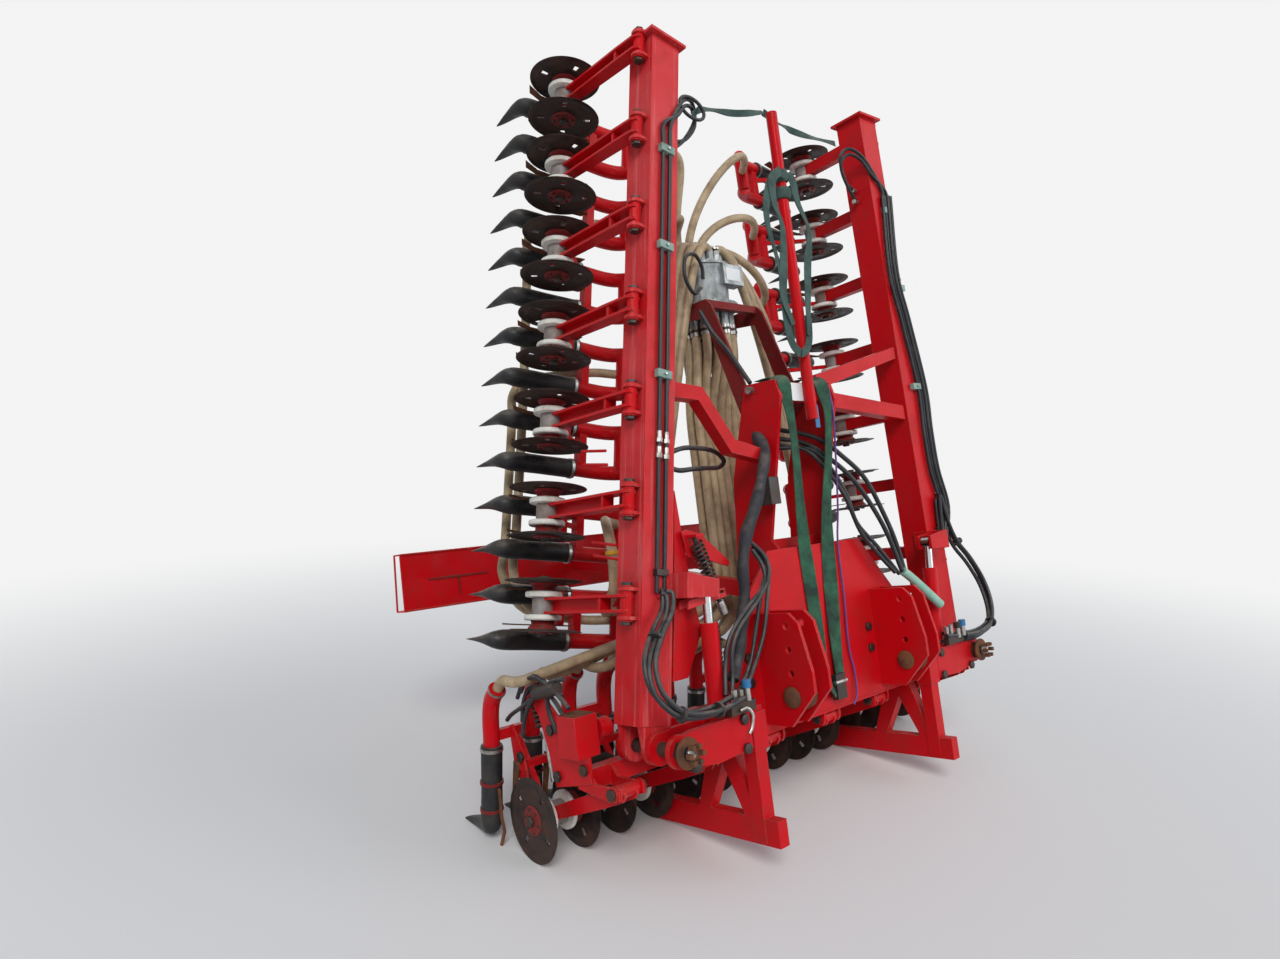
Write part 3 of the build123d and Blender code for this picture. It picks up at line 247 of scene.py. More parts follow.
def piece(name, shapes, body, place=parked, replaces=(), bevel=0.0):
    """One finished piece: its shapes, each a pair of shape and material, joined in one mesh at their place,
    with doubled points merged, faces turned outwards, and edges rounded where a bevel is given. It rides on
    a body named by body. Where body is instead two bodies and the two parked places between them, these
    are not used, and the piece stays in place on no body."""
    mesh = bpy.data.meshes.new(name)
    points, faces, slots, finishes = [], [], [], []
    count = 0
    for (shape_points, shape_faces), finish in shapes:
        if finish not in finishes:
            finishes.append(finish)
        points.append(place(shape_points))
        faces += [tuple(int(index) + count for index in face) for face in shape_faces]
        slots += [finishes.index(finish)] * len(shape_faces)
        count += len(shape_points)
    mesh.from_pydata(np.vstack(points).tolist(), [], faces)
    mesh.polygons.foreach_set("material_index", slots)
    for finish in finishes:
        mesh.materials.append(finish)
    edit = bmesh.new()
    edit.from_mesh(mesh)
    bmesh.ops.remove_doubles(edit, verts=edit.verts, dist=MERGED_WITHIN)
    bmesh.ops.dissolve_degenerate(edit, edges=edit.edges, dist=MERGED_WITHIN)
    bmesh.ops.recalc_face_normals(edit, faces=edit.faces)
    edit.to_mesh(mesh)
    edit.free()
    thing = bpy.data.objects.new(name, mesh)
    bpy.context.scene.collection.objects.link(thing)
    mesh.shade_smooth()
    mesh.set_sharp_from_angle(angle=SHARP_FROM)
    if bevel:
        rounding = thing.modifiers.new("rounded edges", "BEVEL")
        rounding.width = bevel
        rounding.segments = 2
        rounding.limit_method = "ANGLE"
        rounding.angle_limit = ROUNDED_FROM
    if isinstance(body, str):
        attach(thing, body)
    else:
        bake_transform(thing)
    if replaces:
        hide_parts(*replaces)


# Wear, dirt and rust, and a painted highlight along edges, are shared effects: groups whose mask each
# finish uses in its own way.
def new_group(name, inputs):
    """An empty shader group with named inputs, each (kind, value), and a mask as its output."""
    group = bpy.data.node_groups.new(name, "ShaderNodeTree")
    for label, (kind, value) in inputs.items():
        socket = group.interface.new_socket(label, in_out="INPUT", socket_type=f"NodeSocket{kind}")
        socket.default_value = value
    group.interface.new_socket("Mask", in_out="OUTPUT", socket_type="NodeSocketFloat")
    return group, group.nodes.new("NodeGroupInput"), group.nodes.new("NodeGroupOutput")


def blended(add, factor, first, second):
    """The output of a colour mix of two colours by a factor. Inputs 6 and 7 and output 2 are the mix's
    colours."""
    return add("Mix", {"data_type": "RGBA"}, i0=factor, i6=first, i7=second).outputs[2]


def ranged(add, value, low, high):
    """How far a value is on its way from low to high, held between nought and one."""
    return add("MapRange", Value=value, From_Min=low, From_Max=high).outputs[0]


def speckle(add, scale, detail, roughness=0.5):
    """Noise over the piece's own coordinates, from nought to one."""
    place = add("TexCoord").outputs["Object"]
    return add("TexNoise", Vector=place, Scale=scale, Detail=detail, Roughness=roughness).outputs["Fac"]


# Patches cover a share of the surface, and their edges are as soft as asked.
patches, given, made = new_group(
    "patches", {"Scale": ("Float", 3.0), "Amount": ("Float", 0.4), "Soft": ("Float", 0.12)}
)
add = node_maker(patches)
noise = speckle(add, given.outputs["Scale"], 9.0, 0.65)
limit = reckoned(add, "SUBTRACT", 1.0, given.outputs["Amount"])
under = reckoned(add, "SUBTRACT", limit, given.outputs["Soft"])
over = reckoned(add, "ADD", limit, given.outputs["Soft"])
patches.links.new(ranged(add, noise, under, over), made.inputs["Mask"])

# Streaks are noise drawn out along a direction that leans from the upright.
STREAK_LENGTH, STREAK_SOFTNESS = 33.0, 0.10
streaks, given, made = new_group(
    "streaks", {"Amount": ("Float", 0.4), "Fine": ("Float", 40.0), "Lean": ("Vector", (0.0, 0.0, 0.0))}
)
add = node_maker(streaks)
place = add("TexCoord").outputs["Object"]
drawn_out = add("Mapping", {"vector_type": "TEXTURE"}, Vector=place, Scale=(1.0, 1.0, STREAK_LENGTH))
streaks.links.new(given.outputs["Lean"], drawn_out.inputs["Rotation"])
noise = add("TexNoise", Vector=drawn_out.outputs[0], Scale=given.outputs["Fine"], Detail=8.0, Roughness=0.7)
limit = reckoned(add, "SUBTRACT", 1.0, given.outputs["Amount"])
over = reckoned(add, "ADD", limit, STREAK_SOFTNESS)
streaks.links.new(ranged(add, noise.outputs["Fac"], limit, over), made.inputs["Mask"])

# Edges, for wear and for a painted highlight, are where a rounded normal differs from the real one,
# broken up by noise.
edge_wear_and_highlight, given, made = new_group("edge wear and highlight", {"Width": ("Float", 0.004), "Breaks": ("Float", 60.0)})
add = node_maker(edge_wear_and_highlight)
rounded = add("Bevel", {"samples": 4}, Radius=given.outputs["Width"])
facing = add("NewGeometry")
alike = add("VectorMath", {"operation": "DOT_PRODUCT"}, i0=rounded.outputs[0], i1=facing.outputs["Normal"])
edge = ranged(add, alike.outputs["Value"], low=0.99, high=0.90)
broken = ranged(add, speckle(add, given.outputs["Breaks"], 6.0, 0.7), low=0.46, high=0.60)
edge_wear_and_highlight.links.new(reckoned(add, "MULTIPLY", edge, broken), made.inputs["Mask"])

# Dust settles in thin patches on faces that look up.
settled_dust, given, made = new_group("settled dust", {"Amount": ("Float", 0.5), "Scale": ("Float", 12.0)})
add = node_maker(settled_dust)
facing = add("SeparateXYZ", i0=add("NewGeometry").outputs["Normal"])
upper = ranged(add, facing.outputs["Z"], low=0.25, high=0.95)
thick = ranged(add, speckle(add, given.outputs["Scale"], 7.0, 0.6), low=0.38, high=0.66)
dusty = reckoned(add, "MULTIPLY", upper, thick)
settled_dust.links.new(reckoned(add, "MULTIPLY", dusty, given.outputs["Amount"]), made.inputs["Mask"])


COAT_ROUGHNESS, SHEEN_LEVEL = 0.12, 0.3


def finish_of(name, metallic=0.0, coat=0.0):
    """A new material with its node maker and its surface node."""
    material = bpy.data.materials.new(name)
    material.use_nodes = True
    surface = material.node_tree.nodes["Principled BSDF"]
    surface.inputs["Metallic"].default_value = metallic
    surface.inputs["Coat Weight"].default_value = coat
    surface.inputs["Coat Roughness"].default_value = COAT_ROUGHNESS
    surface.inputs["Specular IOR Level"].default_value = SHEEN_LEVEL
    return material, node_maker(material.node_tree), surface


def grouped(add, group, **inputs):
    """The mask of a shared effect, placed in a material with its own values."""
    node = add("Group", {"node_tree": group})
    for key, value in inputs.items():
        node.inputs[key].default_value = value
    return node.outputs["Mask"]


def roughened(add, mask, low, high):
    """A roughness that is low off a mask and high on it."""
    return add("MapRange", Value=mask, To_Min=low, To_Max=high).outputs[0]


def finished(material, add, surface, color, roughness, bump, strength, distance):
    """Joins colour, roughness and height to the surface."""
    links = material.node_tree.links
    links.new(color, surface.inputs["Base Color"])
    links.new(roughness, surface.inputs["Roughness"])
    raised = add("Bump", Strength=strength, Distance=distance, Height=bump)
    links.new(raised.outputs[0], surface.inputs["Normal"])
    return material


SHEEN_RED = (1.0, 0.18, 0.18, 1.0)
# A chalky red for faded streaks, which also paints the highlight along edges.
CHALKY_AND_HIGHLIGHT_RED = (0.66, 0.17, 0.16, 1)
SMEAR_BROWN = (0.16, 0.035, 0.025, 1)
SPOT_BROWN = (0.10, 0.045, 0.03, 1)
PINK_DUST = (0.40, 0.20, 0.16, 1)
CHIP_RUST = (0.12, 0.055, 0.035, 1)
BEIGE_DUST = (0.40, 0.34, 0.28, 1)
STREAK_SHARE, SMEAR_SHARE, GRAIN_DARK = 0.55, 0.35, 0.7


def paint(name, color, faded, fading, dirt, chips, coat, scratches=0.30, lean=(0.0, 0.0, 0.0)):
    """Sprayed gloss enamel on welded steel: it fades in broad patches, chips to rust along its edges,
    gathers dust on its upper faces and dirt in small spots, and shows the faint waves of a sprayed coat. Its
    edges are also a lighter chalky red in long stretches, partly wear and partly a painted highlight."""
    material, add, surface = finish_of(name, coat=coat)
    surface.inputs["Specular Tint"].default_value = SHEEN_RED
    broad = grouped(add, patches, Scale=2.2, Amount=fading, Soft=0.2)
    spots = grouped(add, patches, Scale=38.0, Amount=dirt, Soft=0.05)
    smears = grouped(add, patches, Scale=7.0, Amount=dirt + 0.1, Soft=0.15)
    edges = grouped(add, edge_wear_and_highlight, Width=0.004, Breaks=46.0)
    # The rims are edges worn pale and also a painted highlight: a lighter chalky red in long stretches.
    worn_and_highlit_rims = grouped(add, edge_wear_and_highlight, Width=0.0025, Breaks=7.0)
    run_down = grouped(add, streaks, Amount=scratches, Fine=34.0, Lean=lean)
    dust = grouped(add, settled_dust, Amount=0.16, Scale=14.0)
    shade = blended(add, broad, color, faded)
    shade = blended(add, reckoned(add, "MULTIPLY", run_down, STREAK_SHARE), shade, CHALKY_AND_HIGHLIGHT_RED)
    shade = blended(add, reckoned(add, "MULTIPLY", smears, SMEAR_SHARE), shade, SMEAR_BROWN)
    shade = blended(add, spots, shade, SPOT_BROWN)
    shade = blended(add, dust, shade, PINK_DUST)
    shade = blended(add, worn_and_highlit_rims, shade, CHALKY_AND_HIGHLIGHT_RED)
    shade = blended(add, reckoned(add, "MULTIPLY", edges, chips), shade, CHIP_RUST)
    rough = reckoned(add, "MAXIMUM", roughened(add, smears, 0.38, 0.62), dust)
    waves = speckle(add, 70.0, 3.0)
    return finished(material, add, surface, shade, rough, waves, strength=0.10, distance=0.001)


def metal(name, color, stain, staining, rough_low, rough_high, metallic=1.0, grain=90.0):
    """Bare or plated steel: a fine grain, with stains of oil, dirt or rust in patches, where it is
    rougher."""
    material, add, surface = finish_of(name, metallic=metallic)
    stains = grouped(add, patches, Scale=16.0, Amount=staining, Soft=0.14)
    fine = speckle(add, grain, 6.0)
    shade = blended(add, fine, color, tuple(GRAIN_DARK * part for part in color[:3]) + (1,))
    shade = blended(add, stains, shade, stain)
    rough = roughened(add, stains, rough_low, rough_high)
    return finished(material, add, surface, shade, rough, fine, strength=0.15, distance=0.0006)


def plastic(name, color, stain, staining, rough_low=0.45, rough_high=0.8, grain=120.0, depth=0.1):
    """Moulded plastic or rubber with a fine grain and stains in patches."""
    material, add, surface = finish_of(name)
    stains = grouped(add, patches, Scale=13.0, Amount=staining, Soft=0.16)
    dust = grouped(add, settled_dust, Amount=0.4, Scale=18.0)
    fine = speckle(add, grain, 5.0)
    shade = blended(add, stains, color, stain)
    shade = blended(add, dust, shade, BEIGE_DUST)
    rough = roughened(add, stains, rough_low, rough_high)
    return finished(material, add, surface, shade, rough, fine, strength=depth, distance=0.0006)


# Dirty dark red enamel. On the rear board's two strips it is painted shade.
dark_paint_and_shade = paint(
    "dirty dark red enamel and painted shade",
    (0.26, 0.010, 0.016, 1),
    (0.16, 0.02, 0.02, 1),
    fading=0.5,
    dirt=0.42,
    chips=0.9,
    coat=0.0,
    scratches=0.0,
)
disc_steel = metal(
    "soil-dark disc steel",
    (0.030, 0.022, 0.020, 1),
    (0.085, 0.045, 0.032, 1),
    staining=0.45,
    rough_low=0.42,
    rough_high=0.85,
    metallic=0.35,
)
oily_steel = metal(
    "oily dark steel",
    (0.06, 0.055, 0.055, 1),
    (0.10, 0.06, 0.04, 1),
    staining=0.45,
    rough_low=0.35,
    rough_high=0.8,
    metallic=0.7,
)
cream_ring = plastic("cream seal ring", (0.76, 0.75, 0.69, 1), (0.34, 0.25, 0.17, 1), staining=0.34)
DISC_AT = 0.0975
SPOOL_BOLT_RING, SPOOL_BOLTS_FROM = 0.042, 0.3


def lifted(y, z):
    """A point of a wing's arm, turned up about the arm's pivot."""
    dy, dz = y - PIVOT_Y, z - PIVOT_Z
    c, s = math.cos(WING_ARM_LIFT), math.sin(WING_ARM_LIFT)
    return PIVOT_Y + dy * c - dz * s, PIVOT_Z + dy * s + dz * c


def pierced_disc(along, sign, turn_start, sides=64):
    """A disc about the X axis: a polar grid whose rows lie at set radii and whose depth follows the
    pressing, doubled by its thickness, with the quads inside four slots left out and a wall along every
    open edge."""
    radius = np.array((0.030, 0.052, 0.066, SLOT_INNER, SLOT_OUTER, 0.127, 0.134, 0.147, DISC_R))
    depth = np.array((0.004, 0.004, 0.0, 0.0, 0.0, 0.0, 0.004, 0.006, 0.0035))
    angle = turn_start + np.linspace(0, 2 * math.pi, sides, endpoint=False)
    y, z = np.outer(radius, np.cos(angle)), np.outer(radius, np.sin(angle))
    front = np.stack((along + sign * np.repeat(depth[:, None], sides, 1), y, z), -1).reshape(-1, 3)
    thin = np.where(radius < DISC_R, DISC_THICK, RIM_THICK)
    back = front - np.array((sign, 0, 0)) * np.repeat(thin, sides)[:, None]
    quads = ring_faces(len(radius), sides)
    middle_row = quads[:, 0] // sides
    around = (quads[:, 0] % sides + 0.5) * 2 * math.pi / sides
    from_slot = np.abs((around + math.pi / 4) % (math.pi / 2) - math.pi / 4)
    kept = quads[~((middle_row == 3) & (from_slot < SLOT_HALF))]
    edges = np.stack((kept, np.roll(kept, -1, 1)), -1).reshape(-1, 2)
    total = len(front)
    open_edge = ~np.isin(edges[:, 0] * total + edges[:, 1], edges[:, 1] * total + edges[:, 0])
    a, b = edges[open_edge].T
    walls = np.stack((a, b, b + total, a + total), -1)
    faces = np.vstack((kept, kept[:, ::-1] + total, walls))
    return np.vstack((front, back)), [tuple(face) for face in faces]


def spool_shapes(sign):
    """The turned pieces beside one disc: the seal ring by the hub, the spool through the disc, its outer
    flange and the nut on the axle's end."""
    ring = (
        (0.034, 0.0), (0.034, 0.066), (0.036, 0.073), (0.040, 0.075),
        (0.052, 0.075), (0.057, 0.071), (0.058, 0.05), (0.058, 0.0),
    )
    spool = (
        (0.058, 0.0), (0.058, 0.050), (0.064, 0.046), (0.074, 0.046),
        (0.083, 0.056), (0.091, 0.060), (0.091, 0.0),
    )
    flange = ((0.0985, 0.0), (0.0985, 0.052), (0.101, 0.056), (0.106, 0.054), (0.108, 0.034), (0.108, 0.0))
    nut = ((0.107, 0.0), (0.107, 0.022), (0.117, 0.022), (0.1205, 0.018), (0.1205, 0.0))
    bolt = ((0.106, 0.0), (0.106, 0.0065), (0.111, 0.0065), (0.112, 0.005), (0.112, 0.0))
    bolts = [
        (0.0, SPOOL_BOLT_RING * math.cos(angle), SPOOL_BOLT_RING * math.sin(angle))
        for angle in SPOOL_BOLTS_FROM + np.linspace(0, 2 * math.pi, 6, endpoint=False)
    ]
    shapes = [(turned_shape(ring, 40), cream_ring), (turned_shape(spool, 32), dark_paint_and_shade)]
    shapes += [(turned_shape(flange, 32), dark_paint_and_shade), (turned_shape(nut, 6), oily_steel)]
    shapes.append((shifted(turned_shape(bolt, 6), *bolts), oily_steel))
    return [(sided(shape, sign), finish) for shape, finish in shapes]


def disc_pair(name, x, hub, place, turn_start):
    """Both discs of an arm, which ride on the pair's own body."""
    shapes = []
    for sign in (-1, 1):
        web = pierced_disc(sign * DISC_AT, sign, turn_start + sign)
        shapes += [(web, disc_steel)] + spool_shapes(sign)
    shapes = [(shifted(shape, (x, *hub)), finish) for shape, finish in shapes]
    piece(f"discs_{name}", shapes, f"disc_pair_{name}", place, (f"disc_pair_{name}",))


wing_hub = lifted(HUB_Y, HUB_Z)
random = np.random.default_rng(5)
for number, x in enumerate(CENTRE_ARM_XS, 1):
    disc_pair(f"centre_{number}", x, (HUB_Y, HUB_Z), parked, random.uniform(0, 6))
for side, sign in SIGNS.items():
    for number, x in enumerate(WING_ARM_XS, 1):
        disc_pair(f"{side}_{number}", sign * x, wing_hub, folded(side), random.uniform(0, 6))


# Fittings of the arms: the grey hub sleeve and the pivot bolt, and each outlet's steel elbow, its clamps
# and its moulded rubber tube with a pointed tail. They stand beside the arm, and ride with the frame or
# with their wing.
OUTLET_SHIFT = 0.040
WING_OUTLET_LIFT = 0.093
ELBOW = ((0.495, 0.430), (0.4913, 0.4497), (0.480, 0.545), (0.455, 0.610), (0.405, 0.655))
PIPE_RADIUS, TUBE_BAND_RADIUS = 0.0335, 0.0450
TUBE_TOP = np.array((0.0, 0.495, 0.430))
TUBE_BOTTOM = np.array((0.0, 0.548, 0.150))
CROSS_PIPE = (0.417, 0.643)
LUG_OUTER, COLLAR = 0.058, 0.006
RIB_SHARE = 0.235
BAND_HALF, BAND_LIP = 0.002, 1e-4
# Sections of the rubber tube and tail, each (y, z, half width, half height), from the clamp down and back
# to the tip
OUTLET_SECTIONS = (
    (0.495, 0.430, 0.043, 0.043),
    (0.508, 0.360, 0.0425, 0.0425),
    (0.527, 0.260, 0.042, 0.042),
    (0.546, 0.165, 0.043, 0.044),
    (0.560, 0.125, 0.039, 0.049),
    (0.590, 0.112, 0.029, 0.040),
    (0.635, 0.108, 0.018, 0.031),
    (0.690, 0.106, 0.010, 0.022),
    (0.740, 0.104, 0.005, 0.012),
    (0.775, 0.101, 0.0015, 0.003),
)
RED = (0.56, 0.003, 0.007, 1)
PINK_RED = (0.50, 0.006, 0.012, 1)
red_paint = paint("red enamel", RED, PINK_RED, fading=0.45, dirt=0.30, chips=0.9, coat=0.05)
hub_grey = metal(
    "dusty grey hub",
    (0.30, 0.28, 0.27, 1),
    (0.20, 0.13, 0.10, 1),
    staining=0.45,
    rough_low=0.55,
    rough_high=0.9,
    metallic=0.2,
    grain=30.0,
)
zinc = metal(
    "zinc-plated steel",
    (0.52, 0.52, 0.50, 1),
    (0.15, 0.10, 0.07, 1),
    staining=0.42,
    rough_low=0.32,
    rough_high=0.75,
)
black_rubber = plastic(
    "black rubber",
    (0.018, 0.019, 0.021, 1),
    (0.05, 0.042, 0.036, 1),
    staining=0.4,
    rough_low=0.42,
    rough_high=0.85,
)


def plate_shape(outline, low, high):
    """A flat plate: its outline is a list of (y, z), and it reaches from x = low to x = high."""
    outline = np.array(outline, float)
    count = len(outline)
    near = np.column_stack((np.full(count, low), outline))
    far = np.column_stack((np.full(count, high), outline))
    walls = [(i, (i + 1) % count, count + (i + 1) % count, count + i) for i in range(count)]
    return np.vstack((near, far)), [tuple(range(count))[::-1]] + walls + [tuple(range(count, 2 * count))]


def box_shape(low, high):
    """A block between two corners."""
    (x0, y0, z0), (x1, y1, z1) = low, high
    return plate_shape(((y0, z0), (y1, z0), (y1, z1), (y0, z1)), x0, x1)


def smooth_line(points, steps=8):
    """A smooth line through points: each span is a cubic whose ends point along the chord between the
    points on either side, taken at evenly spaced places."""
    points = np.array(points, float)
    before = np.vstack((2 * points[0] - points[1], points[:-1]))[: len(points) - 1]
    after = np.vstack((points[2:], 2 * points[-1] - points[-2]))
    start, end = points[:-1], points[1:]
    t = np.linspace(0, 1, steps, endpoint=False)[:, None, None]
    line = (
        (2 * t**3 - 3 * t**2 + 1) * start
        + (t**3 - 2 * t**2 + t) * (end - before) / 2
        + (3 * t**2 - 2 * t**3) * end
        + (t**3 - t**2) * (after - start) / 2
    )
    return np.vstack((line.transpose(1, 0, 2).reshape(-1, 3), points[-1]))


def carried_shape(section, line, first=(0.3, 0.2, 1.0)):
    """A section of (across, over) points carried along a line, with closed ends. The section's first
    direction is turned least from one point of the line to the next. Section may also be one array for each
    point."""
    line = np.asarray(line, float)
    tangent = np.gradient(line, axis=0)
    tangent /= np.linalg.norm(tangent, axis=1)[:, None]
    across = np.zeros_like(line)
    start = np.array(first, float)
    for i, way in enumerate(tangent):
        start = start - way * (start @ way)
        start /= np.linalg.norm(start)
        across[i] = start
    over = np.cross(tangent, across)
    section = np.asarray(section, float)
    if section.ndim == 2:
        section = np.repeat(section[None], len(line), 0)
    points = line[:, None] + section[..., :1] * across[:, None] + section[..., 1:] * over[:, None]
    rows, columns = section.shape[:2]
    faces = [tuple(face) for face in ring_faces(rows, columns)]
    faces += [tuple(range(columns))[::-1], tuple(range((rows - 1) * columns, rows * columns))]
    return points.reshape(-1, 3), faces


def round_section(radius, sides=12):
    """The points of a round section."""
    angle = np.linspace(0, 2 * math.pi, sides, endpoint=False)
    return radius * np.column_stack((np.cos(angle), np.sin(angle)))


def rod_shape(start, end, radius, sides=12):
    """A round rod from one point to another, with closed ends."""
    return carried_shape(round_section(radius, sides), np.linspace(start, end, 2))


def turned_by(shape, axis, degrees):
    """A shape turned about one of the three axes."""
    c, s = math.cos(math.radians(degrees)), math.sin(math.radians(degrees))
    turn = {
        "x": ((1, 0, 0), (0, c, -s), (0, s, c)),
        "y": ((c, 0, s), (0, 1, 0), (-s, 0, c)),
        "z": ((c, -s, 0), (s, c, 0), (0, 0, 1)),
    }[axis]
    return shape[0] @ np.array(turn).T, shape[1]


def outlet_offsets(centre_x):
    """Where an arm's two outlets lie beside it: both are shifted away from the machine's middle."""
    if centre_x == 0:
        return -PITCH / 2 - OUTLET_SHIFT, PITCH / 2 + OUTLET_SHIFT
    way = math.copysign(OUTLET_SHIFT, centre_x)
    return -PITCH / 2 + way, PITCH / 2 + way


def oval_section(half_width, half_height, sides=20):
    """The points of an oval section."""
    return round_section(1.0, sides) * (half_width, half_height)


def outlet_shape():
    """One rubber outlet about x = 0: ovals along its middle line, round in the tube and flat at the tail's
    tip."""
    table = np.array(OUTLET_SECTIONS)
    widths, heights = (smooth_line(np.column_stack((table[:, :2], table[:, k])), 3) for k in (2, 3))
    line = np.column_stack((np.zeros(len(widths)), widths[:, :2]))
    section = np.array([oval_section(w, h) for w, h in zip(widths[:, 2], heights[:, 2])])
    return carried_shape(section, line, (1, 0, 0))


def band_shape(middle, way, radius, width, sides=20):
    """A short band round a pipe, with its width along the pipe: a thin closed ring."""
    middle, way = np.array(middle, float), np.array(way, float) / np.linalg.norm(way)
    ends = np.array((-0.5, -0.5, 0.5, 0.5))[:, None] * width * way
    radii = radius + BAND_HALF * np.array((-1, 1, 1, -1))
    section = np.array([round_section(r, sides) for r in radii])
    line = middle + ends + np.array((-BAND_LIP, 0, 0, BAND_LIP))[:, None] * way
    return carried_shape(section, line, (1, 0, 0))


OUTLET = outlet_shape()
ELBOW_LINE = np.array([(0.0, y, z) for y, z in ELBOW])
ELBOW_PIPE = carried_shape(round_section(PIPE_RADIUS, 16), smooth_line(ELBOW_LINE, 3), (1, 0, 0))
DOWNWARD = TUBE_BOTTOM - TUBE_TOP
TUBE_CLAMP = band_shape(TUBE_TOP + 0.05 * DOWNWARD, DOWNWARD, radius=0.0445, width=0.013)
CLIP_BANDS = [
    band_shape(TUBE_TOP + share * DOWNWARD, DOWNWARD, TUBE_BAND_RADIUS, 0.012) for share in (0.52, 0.90)
]
HOSE_CLAMP = band_shape((0, 0.412, 0.649), (0, -0.743, 0.669), radius=0.0345, width=0.010)
HUB_SLEEVE = turned_shape(((-0.0335, 0.0), (-0.0335, 0.046), (0.0335, 0.046), (0.0335, 0.0)), 28)
BOLT_HEAD = turned_shape(((0.0, 0.0), (0.0, 0.021), (0.012, 0.021), (0.013, 0.018), (0.013, 0.0)), 6)
PIVOT_SLEEVE = turned_shape(((0.0, 0.0), (0.0, 0.026), (0.006, 0.026), (0.006, 0.0)), 24)
RIB = box_shape((-0.024, -0.006, -0.030), (0.024, 0.006, 0.024))


def arm_fittings(x, hub, lift, joined):
    """Everything bolted to one arm: its two outlets with their elbows and clamps, the hub's grey sleeve,
    the bolts of its pivot and the cross rib between its plates."""
    reach = np.array(hub) - (PIVOT_Y, PIVOT_Z)
    slope = math.degrees(math.atan2(reach[1], reach[0]))
    rib_place = np.array((PIVOT_Y, PIVOT_Z)) + RIB_SHARE * reach
    shapes = [(shifted(HUB_SLEEVE, (x, *hub)), hub_grey)]
    for sign in (-1, 1):
        collar_place = (x + sign * LUG_OUTER, PIVOT_Y, PIVOT_Z)
        head_place = (x + sign * (LUG_OUTER + COLLAR), PIVOT_Y, PIVOT_Z)
        shapes.append((shifted(sided(PIVOT_SLEEVE, sign), collar_place), red_paint))
        shapes.append((shifted(sided(BOLT_HEAD, sign), head_place), oily_steel))
    shapes.append((shifted(turned_by(RIB, "x", slope), (x, *rib_place)), red_paint))
    offsets = outlet_offsets(x if not joined else -x)
    places = [(x + offset, 0, lift) for offset in offsets]
    shapes += [(shifted(OUTLET, *places), black_rubber), (shifted(ELBOW_PIPE, *places), red_paint)]
    shapes.append((shifted(TUBE_CLAMP, *places), zinc))
    if joined:
        ends = [(x + offset, CROSS_PIPE[0], CROSS_PIPE[1] + lift) for offset in offsets]
        shapes.append((rod_shape(*ends, PIPE_RADIUS, 16), red_paint))
    else:
        shapes.append((shifted(HOSE_CLAMP, *places), zinc))
        shapes += [(shifted(band, *places), dark_paint_and_shade) for band in CLIP_BANDS]
    return shapes


shapes = [shape for x in CENTRE_ARM_XS for shape in arm_fittings(x, (HUB_Y, HUB_Z), 0.0, False)]
piece("centre_arm_fittings", shapes, "frame", replaces=("centre_outlets",))
for side, sign in SIGNS.items():
    shapes = [
        shape for x in WING_ARM_XS for shape in arm_fittings(sign * x, wing_hub, WING_OUTLET_LIFT, True)
    ]
    outlets = (f"wing_{side}_outlets",)
    piece(f"{side}_arm_fittings", shapes, f"wing_{side}", folded(side), outlets)


# Slurry hoses: one of smooth beige plastic from the distributor to each centre elbow, in two layers behind
# the tower, and one to each wing arm, which rises from the drum in a slack arch to the folded wing.
# Each is pushed over a stub and held by a clamp.
HOSE_RADIUS, HOSE_SIDES = 0.021, 14
HOSE_BEND, BEND_SHARE = 0.17, 0.45
BUNDLE_PITCH = 0.048
BUNDLE_LAYERS = (0.245, 0.300)
DRUM_X, DRUM_Y, DRUM_Z = 0.0, 0.250, 2.235
STUBS = 14
CENTRE_STUB_RING, CENTRE_STUB_LENGTH, SLEEVE_RADIUS = 0.118, 0.090, 0.0245
WING_STUB_RING, WING_STUB_TOP = 0.096, 2.519
HOSE_END_Y, HOSE_END_Z = 0.3885, 0.7615
ELBOW_TOP = ((0.4035, 0.65635), (0.365, 0.691))
LOW_RUN_Z, LOW_RUN_STEP, LAYER_DROP, LOW_RUN_BEHIND = 0.685, 0.020, 0.015, 0.005
BUNDLE_FOOT, BUNDLE_STEP, BUNDLE_TOP, STUB_RUN = 0.830, 0.055, 1.750, 0.130
SLEEVE_FOOT, SLEEVE_TOP, BAND_DROP = 0.045, 0.004, 0.02
STUB_BAND, WING_STUB_BAND, WING_BAND_LIFT = (0.026, 0.012), (0.0235, 0.011), 0.012
WING_END_BACK, WING_END_UP = 0.066, 0.060
# How far the arch of a wing hose leans out, aside and up at the drum, and back and up at its end. A hose
# that falls far leans farther out and comes down on its end from higher up and less far back, and one that
# rises starts more steeply.
ARCH_OUT, OUT_PER_FALL, ARCH_ASIDE = 0.05, 0.10, 0.6
ARCH_RISE, RISE_PER_LIFT = 0.17, 0.30
ARCH_REACH, LOST_PER_FALL = 0.26, 0.05
ARCH_UP, UP_PER_FALL = 0.05, 0.28
beige_hose = plastic(
    "beige slurry hose",
    (0.47, 0.36, 0.22, 1),
    (0.22, 0.15, 0.09, 1),
    staining=0.42,
    rough_low=0.38,
    rough_high=0.6,
    grain=60.0,
    depth=0.05,
)


